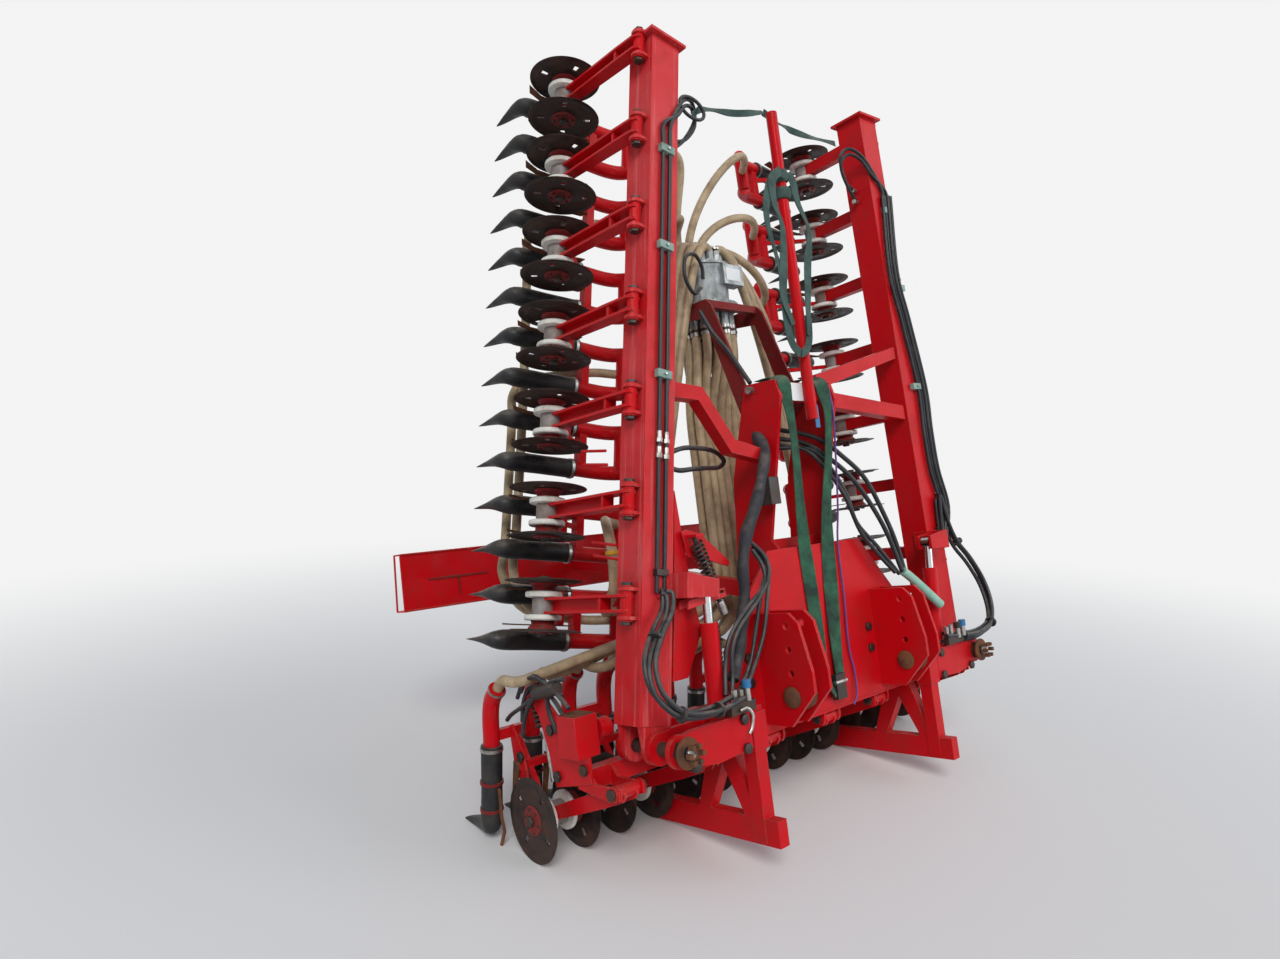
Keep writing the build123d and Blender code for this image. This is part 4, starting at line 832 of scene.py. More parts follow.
def bent_line(points, bend=HOSE_BEND, steps=7):
    """A hose's route: straight runs, with each corner rounded by a quadratic curve that starts and ends a
    bend's length from it, or at a share of a shorter run."""
    points = [np.array(point, float) for point in points]
    line = [points[0]]
    for before, corner, after in zip(points, points[1:], points[2:]):
        back, on = before - corner, after - corner
        reach = min(bend, BEND_SHARE * np.linalg.norm(back), BEND_SHARE * np.linalg.norm(on))
        first = corner + back * reach / np.linalg.norm(back)
        last = corner + on * reach / np.linalg.norm(on)
        line += [
            first * (1 - t) ** 2 + corner * 2 * t * (1 - t) + last * t**2 for t in np.linspace(0, 1, steps)
        ]
    return np.array(line + [points[-1]])


def arched_line(start, rise, come, end, steps=26):
    """A cubic curve from start, towards rise, and to end from come."""
    t = np.linspace(0, 1, steps)[:, None]
    return (1 - t) ** 3 * start + 3 * (1 - t) ** 2 * t * rise + 3 * (1 - t) * t**2 * come + t**3 * end


def ring_places(radius, count, start):
    """Where the stubs of one ring stand on the drum."""
    angle = np.radians(start) + 2 * math.pi * np.arange(count) / count
    return np.column_stack((DRUM_X + radius * np.cos(angle), DRUM_Y + radius * np.sin(angle)))


lower_stubs = ring_places(CENTRE_STUB_RING, STUBS, 180 / STUBS)
front_stubs = sorted(lower_stubs[lower_stubs[:, 1] < DRUM_Y].tolist())
rear_stubs = sorted(lower_stubs[lower_stubs[:, 1] > DRUM_Y].tolist())
LOWER_END = DRUM_Z - CENTRE_STUB_LENGTH
hoses, bands = [], []
for column, x in enumerate(CENTRE_ARM_XS):
    inward = min(column, len(CENTRE_ARM_XS) - 1 - column)
    bundle_x = (column - 3) * BUNDLE_PITCH
    outlet_xs = [x + offset for offset in outlet_offsets(x)]
    if bundle_x > 0:
        outlet_xs.reverse()
    stubs = (front_stubs[column], rear_stubs[column])
    for outlet_x, layer_y, (stub_x, stub_y), drop in zip(outlet_xs, BUNDLE_LAYERS, stubs, (0, LAYER_DROP)):
        route = (
            (outlet_x, *ELBOW_TOP[0]),
            (outlet_x, *ELBOW_TOP[1]),
            (outlet_x, layer_y + LOW_RUN_BEHIND, LOW_RUN_Z - LOW_RUN_STEP * inward - drop),
            (bundle_x, layer_y, BUNDLE_FOOT - BUNDLE_STEP * inward),
            (bundle_x, layer_y, BUNDLE_TOP),
            (stub_x, stub_y, LOWER_END - STUB_RUN),
            (stub_x, stub_y, LOWER_END),
        )
        hoses.append((carried_shape(round_section(HOSE_RADIUS, HOSE_SIDES), bent_line(route)), beige_hose))
        stub = (stub_x, stub_y, LOWER_END)
        sleeve_foot, sleeve_top = np.subtract(stub, (0, 0, SLEEVE_FOOT)), np.add(stub, (0, 0, SLEEVE_TOP))
        bands.append((rod_shape(sleeve_foot, sleeve_top, SLEEVE_RADIUS, 16), zinc))
        bands.append((band_shape(np.subtract(stub, (0, 0, BAND_DROP)), (0, 0, 1), *STUB_BAND), oily_steel))
piece("centre_slurry_hoses", hoses, "frame", replaces=("slurry_hoses_centre",))

upper_stubs = ring_places(WING_STUB_RING, STUBS, 0)
for side, sign in SIGNS.items():
    own_stubs = sorted((y, x) for x, y in upper_stubs.tolist() if x * sign > 0)
    for number, ((stub_y, stub_x), arm_x) in enumerate(zip(own_stubs, WING_ARM_XS)):
        plane_y = DRUM_Y + BUNDLE_PITCH * (number - 3)
        end = swung(side, (sign * (arm_x - OUTLET_SHIFT), HOSE_END_Y, HOSE_END_Z))
        near = (sign * (arm_x - OUTLET_SHIFT), HOSE_END_Y - WING_END_BACK, HOSE_END_Z + WING_END_UP)
        near = swung(side, near)
        start = np.array((stub_x, stub_y, WING_STUB_TOP))
        inward = (near - end) / np.linalg.norm(near - end)
        fall = max(0.0, WING_STUB_TOP - near[2])
        lift = max(0.0, near[2] - WING_STUB_TOP)
        out = sign * (ARCH_OUT + OUT_PER_FALL * min(fall, 1.0))
        rise = start + (out, ARCH_ASIDE * (plane_y - stub_y), ARCH_RISE + RISE_PER_LIFT * lift)
        come = near + inward * (ARCH_REACH - LOST_PER_FALL * fall) + (0, 0, ARCH_UP + UP_PER_FALL * fall)
        line = arched_line(start, rise, come, near)
        hose = [(carried_shape(round_section(HOSE_RADIUS, HOSE_SIDES), np.vstack((line, end))), beige_hose)]
        stretch = ("frame", f"wing_{side}", tuple(start), tuple(near))
        replaced = (f"slurry_hoses_{side}",)
        piece(f"{side}_slurry_hose_{number + 1}", hose, stretch, replaces=replaced)
        band = band_shape(start + (0, 0, WING_BAND_LIFT), (0, 0, 1), *WING_STUB_BAND)
        bands.append((band, zinc))

# Distributor: a galvanised drum, with clamps on all its stubs, bolts round its flange and lid, and a blank
# box with a blank white plate on its front.
FLANGE_BOLT_RING, LID_BOLT_RING, LID_BOLTS_FROM = 0.150, 0.128, 12
galvanised = metal(
    "galvanised steel",
    (0.40, 0.43, 0.44, 1),
    (0.22, 0.24, 0.24, 1),
    staining=0.48,
    rough_low=0.42,
    rough_high=0.72,
    metallic=0.7,
    grain=24.0,
)
white_plate = plastic(
    "blank white plate",
    (0.74, 0.76, 0.76, 1),
    (0.50, 0.50, 0.48, 1),
    staining=0.25,
    rough_low=0.3,
    rough_high=0.5,
)
FLANGE_BOLTS_Z, LID_BOLTS_Z = DRUM_Z + 0.022, DRUM_Z + 0.224
upright = turned_by(turned_shape(((0.0, 0.0), (0.0, 0.009), (0.007, 0.009), (0.008, 0.0)), 6), "y", -90)
for ring, height in ((FLANGE_BOLT_RING, FLANGE_BOLTS_Z), (LID_BOLT_RING, LID_BOLTS_Z)):
    places = np.column_stack((ring_places(ring, STUBS, LID_BOLTS_FROM), np.full(STUBS, height)))
    bands.append((shifted(upright, *places), zinc))
BOX_LOW, BOX_HIGH = (0.003, 0.0985, 2.343), (0.137, 0.130, 2.442)
BOX_PLATE_LOW, BOX_PLATE_HIGH = (0.020, 0.0975, 2.362), (0.118, 0.0990, 2.424)
bands.append((box_shape(BOX_LOW, BOX_HIGH), galvanised))
bands.append((box_shape(BOX_PLATE_LOW, BOX_PLATE_HIGH), white_plate))
piece("distributor_fittings", bands, "frame", bevel=0.0015)


# Hydraulic lines of black rubber hose: two run down the right wing's front face in plastic clamps and four
# hang in the left wing's, each wing's lines end in arches and zinc fittings at its top, and go round its
# pin to the frame. The others lie on the frame.
LINE_Y = -0.228
LINE_ZS = {"right": (0.402, 0.438), "left": (0.372, 0.405)}
LEFT_SAG = (
    (3.42, 0.372), (2.995, 0.425), (2.748, 0.385), (2.383, 0.330), (2.153, 0.343), (1.948, 0.340),
    (1.740, 0.300), (1.560, 0.388),
)
LINE_TOP, LINE_BOTTOM = 3.42, 1.56
LINE_RADIUS, FITTING_RADIUS, NUT_RADIUS = 0.0085, 0.0105, 0.0135
LINE_CLAMPS = (3.34, 2.92, 2.39)
CLAMP_FRONT, CLAMP_BACK, CLAMP_HALF_WIDTH, CLAMP_HALF_HEIGHT = -0.240, -0.2165, 0.016, 0.036
CLIP_AT, CLIP_FRONT, CLIP_HALF_WIDTH, CLIP_HALF_HEIGHT = 1.635, -0.242, 0.012, 0.028
CLAMP_BOLT_HEAD_Y, CLAMP_BOLT_RADIUS = -0.2475, 0.006
FITTINGS_AT = (2.13, 2.07)
SAG_ASIDES, SAG_BEHIND, SAG_STEP = (-0.016, 0.018), 0.010, 0.026
FERRULE_ENDS, NUT_ENDS = (0.035, 0.0), (0.008, -0.010)
# The arch at a wing's top: each row is x, how many steps farther out the second line lies there, y and z.
ARCH_STEP = 0.03
ARCH_START = (LINE_TOP - 0.06, LINE_TOP + 0.03)
ARCH = (
    (3.52, 1, LINE_Y, 0.475), (3.60, 1, -0.212, 0.532), (3.63, 1, -0.186, 0.598), (3.58, 1, -0.158, 0.640),
    (3.50, 0, -0.140, 0.592), (3.47, -2, -0.130, 0.505),
)
ARCH_NUT = ((-0.130, 0.498), (-0.130, 0.530))
hose_rubber = plastic(
    "hydraulic hose rubber",
    (0.022, 0.024, 0.028, 1),
    (0.060, 0.056, 0.055, 1),
    staining=0.35,
    rough_low=0.35,
    rough_high=0.6,
)
clamp_plastic = plastic(
    "green-grey clamp plastic", (0.24, 0.36, 0.31, 1), (0.10, 0.14, 0.12, 1), staining=0.4
)


def line_shape(route, radius, sides=10, steps=6):
    """A hose of round section on a smooth line through its points."""
    return carried_shape(round_section(radius, sides), smooth_line(route, steps))


for side, sign in SIGNS.items():
    shapes = []
    for number, z in enumerate(LINE_ZS[side]):
        if side == "left":
            for aside in SAG_ASIDES:
                sag_y, sag_z = LINE_Y - SAG_BEHIND + aside / 3, aside + SAG_STEP * number
                sag = [(x, sag_y, height + sag_z) for x, height in LEFT_SAG]
                shapes.append((line_shape(sag, LINE_RADIUS), hose_rubber))
            continue
        straight = rod_shape((sign * LINE_TOP, LINE_Y, z), (sign * LINE_BOTTOM, LINE_Y, z), LINE_RADIUS)
        shapes.append((straight, hose_rubber))
        for x in FITTINGS_AT:
            ferrule = [(sign * (x + end), LINE_Y, z) for end in FERRULE_ENDS]
            nut = [(sign * (x + end), LINE_Y, z) for end in NUT_ENDS]
            shapes.append((rod_shape(*ferrule, FITTING_RADIUS, 12), zinc))
            shapes.append((rod_shape(*nut, NUT_RADIUS, 6), zinc))
    for number, z in enumerate(LINE_ZS[side]):
        arch = [(sign * x, LINE_Y, z) for x in ARCH_START]
        arch += [(sign * (x + steps * ARCH_STEP * number), y, height) for x, steps, y, height in ARCH]
        nut = [(arch[-1][0], y, height) for y, height in ARCH_NUT]
        shapes.append((rod_shape(*nut, NUT_RADIUS, 6), zinc))
        shapes.append((line_shape(arch, LINE_RADIUS), hose_rubber))
    middle = sum(LINE_ZS[side]) / 2
    for x in LINE_CLAMPS:
        low = (sign * x - CLAMP_HALF_WIDTH, CLAMP_FRONT, middle - CLAMP_HALF_HEIGHT)
        high = (sign * x + CLAMP_HALF_WIDTH, CLAMP_BACK, middle + CLAMP_HALF_HEIGHT)
        shapes.append((box_shape(low, high), clamp_plastic))
        bolt_ends = (sign * x, CLAMP_BACK, middle), (sign * x, CLAMP_BOLT_HEAD_Y, middle)
        shapes.append((rod_shape(*bolt_ends, CLAMP_BOLT_RADIUS, 6), zinc))
    low = (sign * CLIP_AT - CLIP_HALF_WIDTH, CLIP_FRONT, middle - CLIP_HALF_HEIGHT)
    high = (sign * CLIP_AT + CLIP_HALF_WIDTH, CLAMP_BACK, middle + CLIP_HALF_HEIGHT)
    shapes.append((box_shape(low, high), oily_steel))
    piece(f"{side}_wing_lines", shapes, f"wing_{side}", folded(side), bevel=0.0015)

# Past the pins: three lines from the right wing and four from the left, tied together and slack enough to
# unfold.
RIGHT_LOOP = (
    (-0.925, -0.250, 0.945), (-0.950, -0.262, 0.885), (-1.040, -0.295, 0.815), (-1.105, -0.320, 0.735),
    (-1.116, -0.345, 0.650), (-1.090, -0.372, 0.592), (-1.045, -0.390, 0.558), (-0.968, -0.392, 0.540),
    (-0.860, -0.378, 0.533), (-0.745, -0.365, 0.545),
)
LEFT_LOOP = (
    (1.075, -0.240, 1.210), (1.115, -0.245, 1.060), (1.165, -0.250, 0.960), (1.250, -0.265, 0.860),
    (1.285, -0.300, 0.740), (1.262, -0.335, 0.620), (1.190, -0.355, 0.535), (1.060, -0.360, 0.505),
    (0.900, -0.355, 0.512), (0.760, -0.345, 0.530),
)
RIGHT_OFFSETS = ((0, 0, 0), (0.018, -0.014, 0.010), (-0.004, 0.016, 0.020))
LEFT_OFFSETS = ((0, 0, 0), (-0.020, -0.012, 0.012), (0.006, 0.018, 0.018), (-0.024, 0.012, -0.012))
PIN_LINE_RADIUS, TIE_RADIUS, TIE_WIDTH = 0.0095, 0.026, 0.012
LOOPS = {"right": (RIGHT_LOOP, RIGHT_OFFSETS), "left": (LEFT_LOOP, LEFT_OFFSETS)}
for side, (loop, offsets) in LOOPS.items():
    loop = np.array(loop)
    start = swung(side, (SIGNS[side] * LINE_BOTTOM, LINE_Y, sum(LINE_ZS[side]) / 2))
    shapes = []
    for offset in offsets:
        route = np.vstack((start + np.array(offset) * 0.6 + (0, -0.012, 0), loop + offset))
        shapes.append((line_shape(route, PIN_LINE_RADIUS), hose_rubber))
    for at in (2, 6, 8):
        tie = band_shape(loop[at] + (0, 0.001, 0.008), loop[at + 1] - loop[at - 1], TIE_RADIUS, TIE_WIDTH)
        shapes.append((tie, black_rubber))
    stretch = (f"wing_{side}", "frame", tuple(loop[1]), tuple(loop[7]))
    piece(f"{side}_pin_lines", shapes, stretch)

# On the frame: four lines hang beside the tower, four cross from its middle to the left, and two are by the
# distributor. Each row is a line's radius with its route. A woven sleeve, a pale green tube, fittings with
# caps, a valve block and a bent handle go with them.
woven_sleeve = plastic(
    "black woven hose sleeve",
    (0.020, 0.021, 0.026, 1),
    (0.045, 0.045, 0.055, 1),
    staining=0.45,
    rough_low=0.75,
    rough_high=0.95,
    grain=220.0,
    depth=0.5,
)
green_sleeve = plastic(
    "pale green hose sleeve", (0.22, 0.50, 0.38, 1), (0.45, 0.55, 0.48, 1), staining=0.45
)
blue_cap = plastic("blue dust cap", (0.03, 0.16, 0.36, 1), (0.03, 0.07, 0.13, 1), staining=0.3)
FRAME_LINES = (
    (
        LINE_RADIUS,
        (
            (-0.450, -0.262, 1.103), (-0.422, -0.300, 1.040), (-0.451, -0.330, 0.967),
            (-0.541, -0.340, 0.885), (-0.664, -0.340, 0.796), (-0.713, -0.335, 0.716),
            (-0.726, -0.335, 0.631), (-0.755, -0.345, 0.560),
        ),
    ),
    (
        LINE_RADIUS,
        (
            (-0.460, -0.270, 1.075), (-0.448, -0.302, 1.006), (-0.481, -0.325, 0.933),
            (-0.604, -0.330, 0.858), (-0.705, -0.325, 0.768), (-0.742, -0.320, 0.668),
            (-0.775, -0.335, 0.571),
        ),
    ),
    (
        LINE_RADIUS,
        (
            (-0.440, -0.255, 1.090), (-0.415, -0.300, 1.020), (-0.490, -0.315, 0.911),
            (-0.545, -0.310, 0.765), (-0.595, -0.310, 0.656), (-0.665, -0.325, 0.598),
            (-0.725, -0.345, 0.562),
        ),
    ),
    (
        LINE_RADIUS,
        (
            (-0.435, -0.250, 1.070), (-0.405, -0.290, 1.000), (-0.478, -0.330, 0.880),
            (-0.525, -0.335, 0.760), (-0.585, -0.330, 0.660), (-0.650, -0.335, 0.590),
            (-0.715, -0.350, 0.552),
        ),
    ),
    (
        0.0110,
        (
            (0.030, -0.060, 1.600), (0.101, -0.150, 1.565), (0.167, -0.210, 1.522), (0.228, -0.262, 1.445),
            (0.357, -0.285, 1.328), (0.467, -0.295, 1.131), (0.520, -0.298, 1.002), (0.540, -0.305, 0.889),
        ),
    ),
    (
        0.0110,
        (
            (0.030, -0.050, 1.560), (0.120, -0.150, 1.520), (0.200, -0.225, 1.430), (0.285, -0.268, 1.330),
            (0.380, -0.285, 1.200), (0.460, -0.295, 1.060), (0.515, -0.310, 0.880),
        ),
    ),
    (
        0.0095,
        (
            (0.020, -0.060, 1.530), (0.102, -0.160, 1.487), (0.150, -0.215, 1.402), (0.214, -0.260, 1.261),
            (0.277, -0.275, 1.091), (0.368, -0.285, 0.984), (0.470, -0.300, 0.880),
        ),
    ),
    (
        0.0095,
        (
            (0.020, -0.070, 1.510), (0.124, -0.170, 1.490), (0.190, -0.225, 1.390), (0.230, -0.262, 1.260),
            (0.260, -0.275, 1.130), (0.376, -0.288, 1.010), (0.495, -0.305, 0.870),
        ),
    ),
    (
        0.0105,
        (
            (-0.240, 0.060, 2.170), (-0.215, 0.020, 2.060), (-0.195, -0.040, 1.960),
            (-0.185, -0.100, 1.850), (-0.190, -0.140, 1.790),
        ),
    ),
    (
        0.0090,
        (
            (-0.165, 0.105, 2.300), (-0.235, 0.085, 2.260), (-0.285, 0.080, 2.330), (-0.262, 0.085, 2.425),
            (-0.190, 0.095, 2.455), (-0.140, 0.105, 2.410), (-0.130, 0.115, 2.350),
        ),
    ),
)
shapes = [(line_shape(route, radius), hose_rubber) for radius, route in FRAME_LINES]
SLEEVE = (
    (-0.175, -0.130, 1.560), (-0.240, -0.212, 1.474), (-0.324, -0.250, 1.361), (-0.407, -0.268, 1.245),
    (-0.486, -0.272, 1.134), (-0.535, -0.278, 1.015), (-0.552, -0.282, 0.900), (-0.600, -0.288, 0.780),
    (-0.640, -0.296, 0.690), (-0.700, -0.310, 0.610),
)
SLEEVE_HALF_SIZES = (0.029, 0.025)
sleeve_line = smooth_line(SLEEVE, 12)
run = np.linspace(0, 1, len(sleeve_line))
bulge = 1 + 0.07 * np.sin(46 * run) + 0.06 * np.sin(17 * run + 1) - 0.10 * run
section = oval_section(*SLEEVE_HALF_SIZES, sides=16)
shapes.append((carried_shape(section[None] * bulge[:, None, None], sleeve_line), woven_sleeve))
PALE_TUBE = ((0.520, -0.310, 0.880), (0.560, -0.318, 0.850), (0.660, -0.325, 0.775), (0.765, -0.335, 0.690))
shapes.append((line_shape(PALE_TUBE, HOSE_RADIUS, 14), green_sleeve))
FRAME_NUTS = (
    (-0.750, -0.352, 0.565), (-0.715, -0.350, 0.560), (0.760, -0.345, 0.560), (0.800, -0.345, 0.565),
)
COUPLINGS = (
    (-0.690, -0.365, 0.588, blue_cap),
    (0.872, -0.372, 0.575, blue_cap),
    (0.835, -0.365, 0.570, black_rubber),
)
FRAME_NUT_RADIUS, COUPLING_RADIUS, CAP_RADIUS = 0.0125, 0.0120, 0.0165
for x, y, z in FRAME_NUTS:
    shapes.append((rod_shape((x, y, z - 0.035), (x, y - 0.004, z + 0.022), FRAME_NUT_RADIUS, 6), zinc))
for x, y, z, cap in COUPLINGS:
    shapes.append((rod_shape((x, y, z - 0.05), (x, y, z), COUPLING_RADIUS, 12), zinc))
    shapes.append((rod_shape((x, y, z - 0.004), (x, y, z + 0.026), CAP_RADIUS, 14), cap))
BLOCKS = (
    ((-0.790, -0.372, 0.500), (-0.660, -0.336, 0.540)),
    ((0.740, -0.366, 0.498), (0.900, -0.338, 0.532)),
    ((-0.262, -0.235, 1.250), (-0.200, -0.165, 1.365)),
)
shapes += [(box_shape(low, high), oily_steel) for low, high in BLOCKS]
HANDLE = (
    (-0.752, -0.378, 0.515), (-0.728, -0.392, 0.520), (-0.712, -0.398, 0.492), (-0.722, -0.396, 0.452),
    (-0.738, -0.394, 0.432),
)
HANDLE_RADIUS = 0.0065
shapes.append((line_shape(HANDLE, HANDLE_RADIUS), zinc))
piece("frame_lines", shapes, "frame", bevel=0.001)


# Straps: two green ones hang over the tower's cross box to a ratchet under the panel, and faded ones are
# knotted round the post. They are flat woven webbing, carried along a line with its width held crosswise.
STRAP = np.array(((-0.024, -0.0015), (0.024, -0.0015), (0.024, 0.0015), (-0.024, 0.0015)))
strap_green = plastic(
    "green strap webbing",
    (0.032, 0.130, 0.070, 1),
    (0.020, 0.040, 0.030, 1),
    staining=0.52,
    rough_low=0.8,
    rough_high=0.95,
    grain=300.0,
    depth=0.4,
)
strap_grey = plastic(
    "faded strap webbing",
    (0.060, 0.105, 0.092, 1),
    (0.025, 0.045, 0.040, 1),
    staining=0.45,
    rough_low=0.8,
    rough_high=0.95,
    grain=300.0,
    depth=0.4,
)
violet_line = plastic("violet line", (0.14, 0.05, 0.22, 1), (0.05, 0.04, 0.10, 1), staining=0.35)


def strap_shape(route, width=1.0, steps=8, level=(1, 0, 0), slack=0.25):
    """A flat strap along a smooth line. Its width lies level, and swings a little to and fro as slack
    webbing does: at share r of its length it has turned by slack * sin 11 r about the line."""
    line = smooth_line(route, steps)
    tangent = np.gradient(line, axis=0)
    tangent /= np.linalg.norm(tangent, axis=1)[:, None]
    across = np.array(level, float) - tangent * (tangent @ np.array(level, float))[:, None]
    across /= np.linalg.norm(across, axis=1)[:, None]
    over = np.cross(tangent, across)
    turn = (slack * np.sin(11 * np.linspace(0, 1, len(line))))[:, None]
    wide, thick = np.cos(turn) * across + np.sin(turn) * over, np.cos(turn) * over - np.sin(turn) * across
    points = line[:, None] + width * STRAP[:, :1] * wide[:, None] + STRAP[:, 1:] * thick[:, None]
    faces = [tuple(face) for face in ring_faces(len(line), 4)]
    return points.reshape(-1, 3), faces + [(3, 2, 1, 0), tuple(range(4 * len(line) - 4, 4 * len(line)))]


STRAPS = (
    (
        strap_green, 1.45,
        (
            (-0.150, -0.160, 1.792), (-0.152, -0.230, 1.798), (-0.155, -0.290, 1.772),
            (-0.150, -0.296, 1.690), (-0.140, -0.296, 1.600), (-0.112, -0.275, 1.471),
            (-0.100, -0.252, 1.225), (-0.092, -0.240, 1.060), (-0.088, -0.240, 0.940),
            (-0.078, -0.240, 0.685), (-0.070, -0.242, 0.523), (-0.030, -0.262, 0.420),
        ),
    ),
    (
        strap_green, 1.6,
        (
            (0.060, -0.160, 1.792), (0.070, -0.230, 1.798), (0.098, -0.291, 1.772), (0.115, -0.297, 1.701),
            (0.125, -0.297, 1.630), (0.122, -0.275, 1.466), (0.085, -0.250, 1.213), (0.072, -0.238, 1.040),
            (0.055, -0.240, 0.900), (0.041, -0.240, 0.723), (0.030, -0.242, 0.540), (0.012, -0.262, 0.420),
        ),
    ),
    (
        strap_grey, 0.75,
        (
            (-0.020, -0.345, 2.690), (-0.100, -0.345, 2.668), (-0.165, -0.345, 2.560),
            (-0.185, -0.345, 2.441), (-0.160, -0.345, 2.325), (-0.140, -0.345, 2.226),
            (-0.145, -0.345, 2.072), (-0.130, -0.345, 1.930), (-0.070, -0.345, 1.880),
            (-0.010, -0.345, 1.930), (0.010, -0.345, 2.040),
        ),
    ),
    (
        strap_grey, 0.85,
        (
            (-0.050, -0.350, 2.700), (-0.122, -0.352, 2.640), (-0.128, -0.352, 2.534),
            (-0.095, -0.352, 2.435), (-0.120, -0.352, 2.273), (-0.150, -0.352, 2.119),
            (-0.110, -0.352, 2.000),
        ),
    ),
    (
        strap_grey, 0.8,
        (
            (0.005, -0.345, 2.700), (0.027, -0.348, 2.665), (0.043, -0.348, 2.571), (0.094, -0.348, 2.472),
            (0.085, -0.348, 2.380), (0.059, -0.348, 2.307), (0.020, -0.348, 2.120), (-0.005, -0.348, 1.960),
        ),
    ),
)
shapes = [(strap_shape(route, width), finish) for finish, width, route in STRAPS]
KNOTS = ((84, (-0.012, -0.312, 2.690)), (98, (-0.008, -0.312, 2.610)))
knot = turned_shape(
    ((-0.026, 0.0), (-0.026, 0.033), (-0.010, 0.038), (0.014, 0.036), (0.026, 0.032), (0.026, 0.0)), 20
)
shapes += [(shifted(turned_by(knot, "y", lean), place), strap_grey) for lean, place in KNOTS]
RATCHET = ((-0.040, -0.272, 0.395), (0.026, -0.242, 0.500))
RATCHET_PIN, RATCHET_PIN_RADIUS = ((-0.045, -0.268, 0.468), (0.034, -0.268, 0.468)), 0.009
BLUE_TAB = ((0.022, -0.3005, 1.565), (0.052, -0.2985, 1.665))
TOWER_PLATE = ((-0.128, -0.2885, 1.684), (0.008, -0.2850, 1.762))
shapes.append((box_shape(*RATCHET), oily_steel))
shapes.append((rod_shape(*RATCHET_PIN, RATCHET_PIN_RADIUS), zinc))
shapes.append((box_shape(*BLUE_TAB), blue_cap))
VIOLET = (
    (0.160, -0.292, 1.750), (0.165, -0.296, 1.637), (0.180, -0.270, 1.466), (0.167, -0.250, 1.209),
    (0.150, -0.236, 1.049), (0.143, -0.236, 0.820), (0.128, -0.236, 0.600), (0.142, -0.238, 0.483),
    (0.136, -0.240, 0.390), (0.110, -0.236, 0.345),
)
VIOLET_RADIUS = 0.0045
shapes.append((line_shape(VIOLET, VIOLET_RADIUS, 8), violet_line))
shapes.append((box_shape(*TOWER_PLATE), white_plate))
piece("straps", shapes, "frame")

# A lashing of strap webbing between the wings' tops, tied at the post: each half runs from its wing to the
# frame.
TIE_KNOT = (-0.005, -0.262, 3.020)
TIES = {
    "right": ((-0.415, -0.205, 2.925), (-0.324, -0.190, 2.985)),
    "left": ((0.773, -0.110, 3.128), (0.420, -0.150, 3.075)),
}
TIE_SAG, LASHING_WIDTH, LASHING_TWIST = 0.012, 0.62, 0.6
for side, (far, near) in TIES.items():
    middle = tuple((a + b) / 2 for a, b in zip(near, TIE_KNOT))
    middle = middle[:2] + (middle[2] - TIE_SAG,)
    band = strap_shape((far, near, middle, TIE_KNOT), LASHING_WIDTH, 10, (0, 0, 1), LASHING_TWIST)
    stretch = (f"wing_{side}", "frame", far, TIE_KNOT)
    piece(f"{side}_lashing", [(band, strap_grey)], stretch)

# Slack loops on the right wing: one at its top, round the lines, and one that leaves the lines and comes
# back.
LOOP_MIDDLE, LOOP_HALF_SIZES = (-3.60, -0.222, 0.565), (0.045, 0.070)
TOP_LOOP_RADIUS, BACK_LOOP_RADIUS = 0.0075, 0.0100
loop_angle = np.linspace(0, 2 * math.pi, 17)
across, over = LOOP_HALF_SIZES[0] * np.cos(loop_angle), LOOP_HALF_SIZES[1] * np.sin(loop_angle)
loop = np.array(LOOP_MIDDLE) + np.column_stack((across, np.zeros(17), over))
shapes = [(line_shape(swung("right", loop), TOP_LOOP_RADIUS), hose_rubber)]
BACK_LOOP = (
    (-0.800, -0.200, 1.470), (-0.740, -0.205, 1.492), (-0.640, -0.180, 1.503), (-0.466, -0.125, 1.498),
    (-0.360, -0.080, 1.470), (-0.345, -0.065, 1.450), (-0.390, -0.075, 1.432), (-0.520, -0.135, 1.425),
    (-0.640, -0.180, 1.418), (-0.740, -0.200, 1.412), (-0.800, -0.200, 1.430),
)
shapes.append((line_shape(BACK_LOOP, BACK_LOOP_RADIUS), hose_rubber))
piece("right_wing_loops", shapes, "wing_right")


# Small steel parts of the frame: the coil spring and rubber boot with their bracket and lever beside the
# tower, the bolts of the panel and of the hinge plates, and the rusted washers and rollers of the hitch.
PANEL_FRONT = -0.228
HITCH_X, HITCH_HALF, HITCH_FRONT_Y, HITCH_FOOT_Z = 0.400, 0.0555, -0.375, 0.500
HINGE_PLATE_FRONT = -0.337
HINGE_BOLTS = ((0.700, 0.365), (0.960, 0.365), (0.700, 0.470))
LOCK_ENDS_Y, LOCK_RADIUS = (-0.378, -0.390), 0.020
PANEL_BOLTS = (
    (-0.520, 0.655), (-0.520, 0.560), (-0.300, 0.655), (-0.300, 0.560), (0.300, 0.655), (0.300, 0.560),
    (0.520, 0.655), (0.520, 0.560),
)
along_wing = np.diff(folded("right")(((-1.0, 0.0, 0.0), (-2.0, 0.0, 0.0))), axis=0)[0]
WING_LEAN = (-math.asin(along_wing[1]), math.atan2(along_wing[0], along_wing[2]), 0.0)
faded_paint = paint(
    "faded red enamel",
    (0.54, 0.008, 0.013, 1),
    (0.60, 0.060, 0.065, 1),
    fading=0.42,
    dirt=0.30,
    chips=1.0,
    coat=0.05,
    scratches=0.47,
    lean=WING_LEAN,
)
rusted = metal(
    "rusted steel",
    (0.10, 0.052, 0.034, 1),
    (0.22, 0.085, 0.035, 1),
    staining=0.5,
    rough_low=0.75,
    rough_high=0.95,
    metallic=0.25,
    grain=60.0,
)


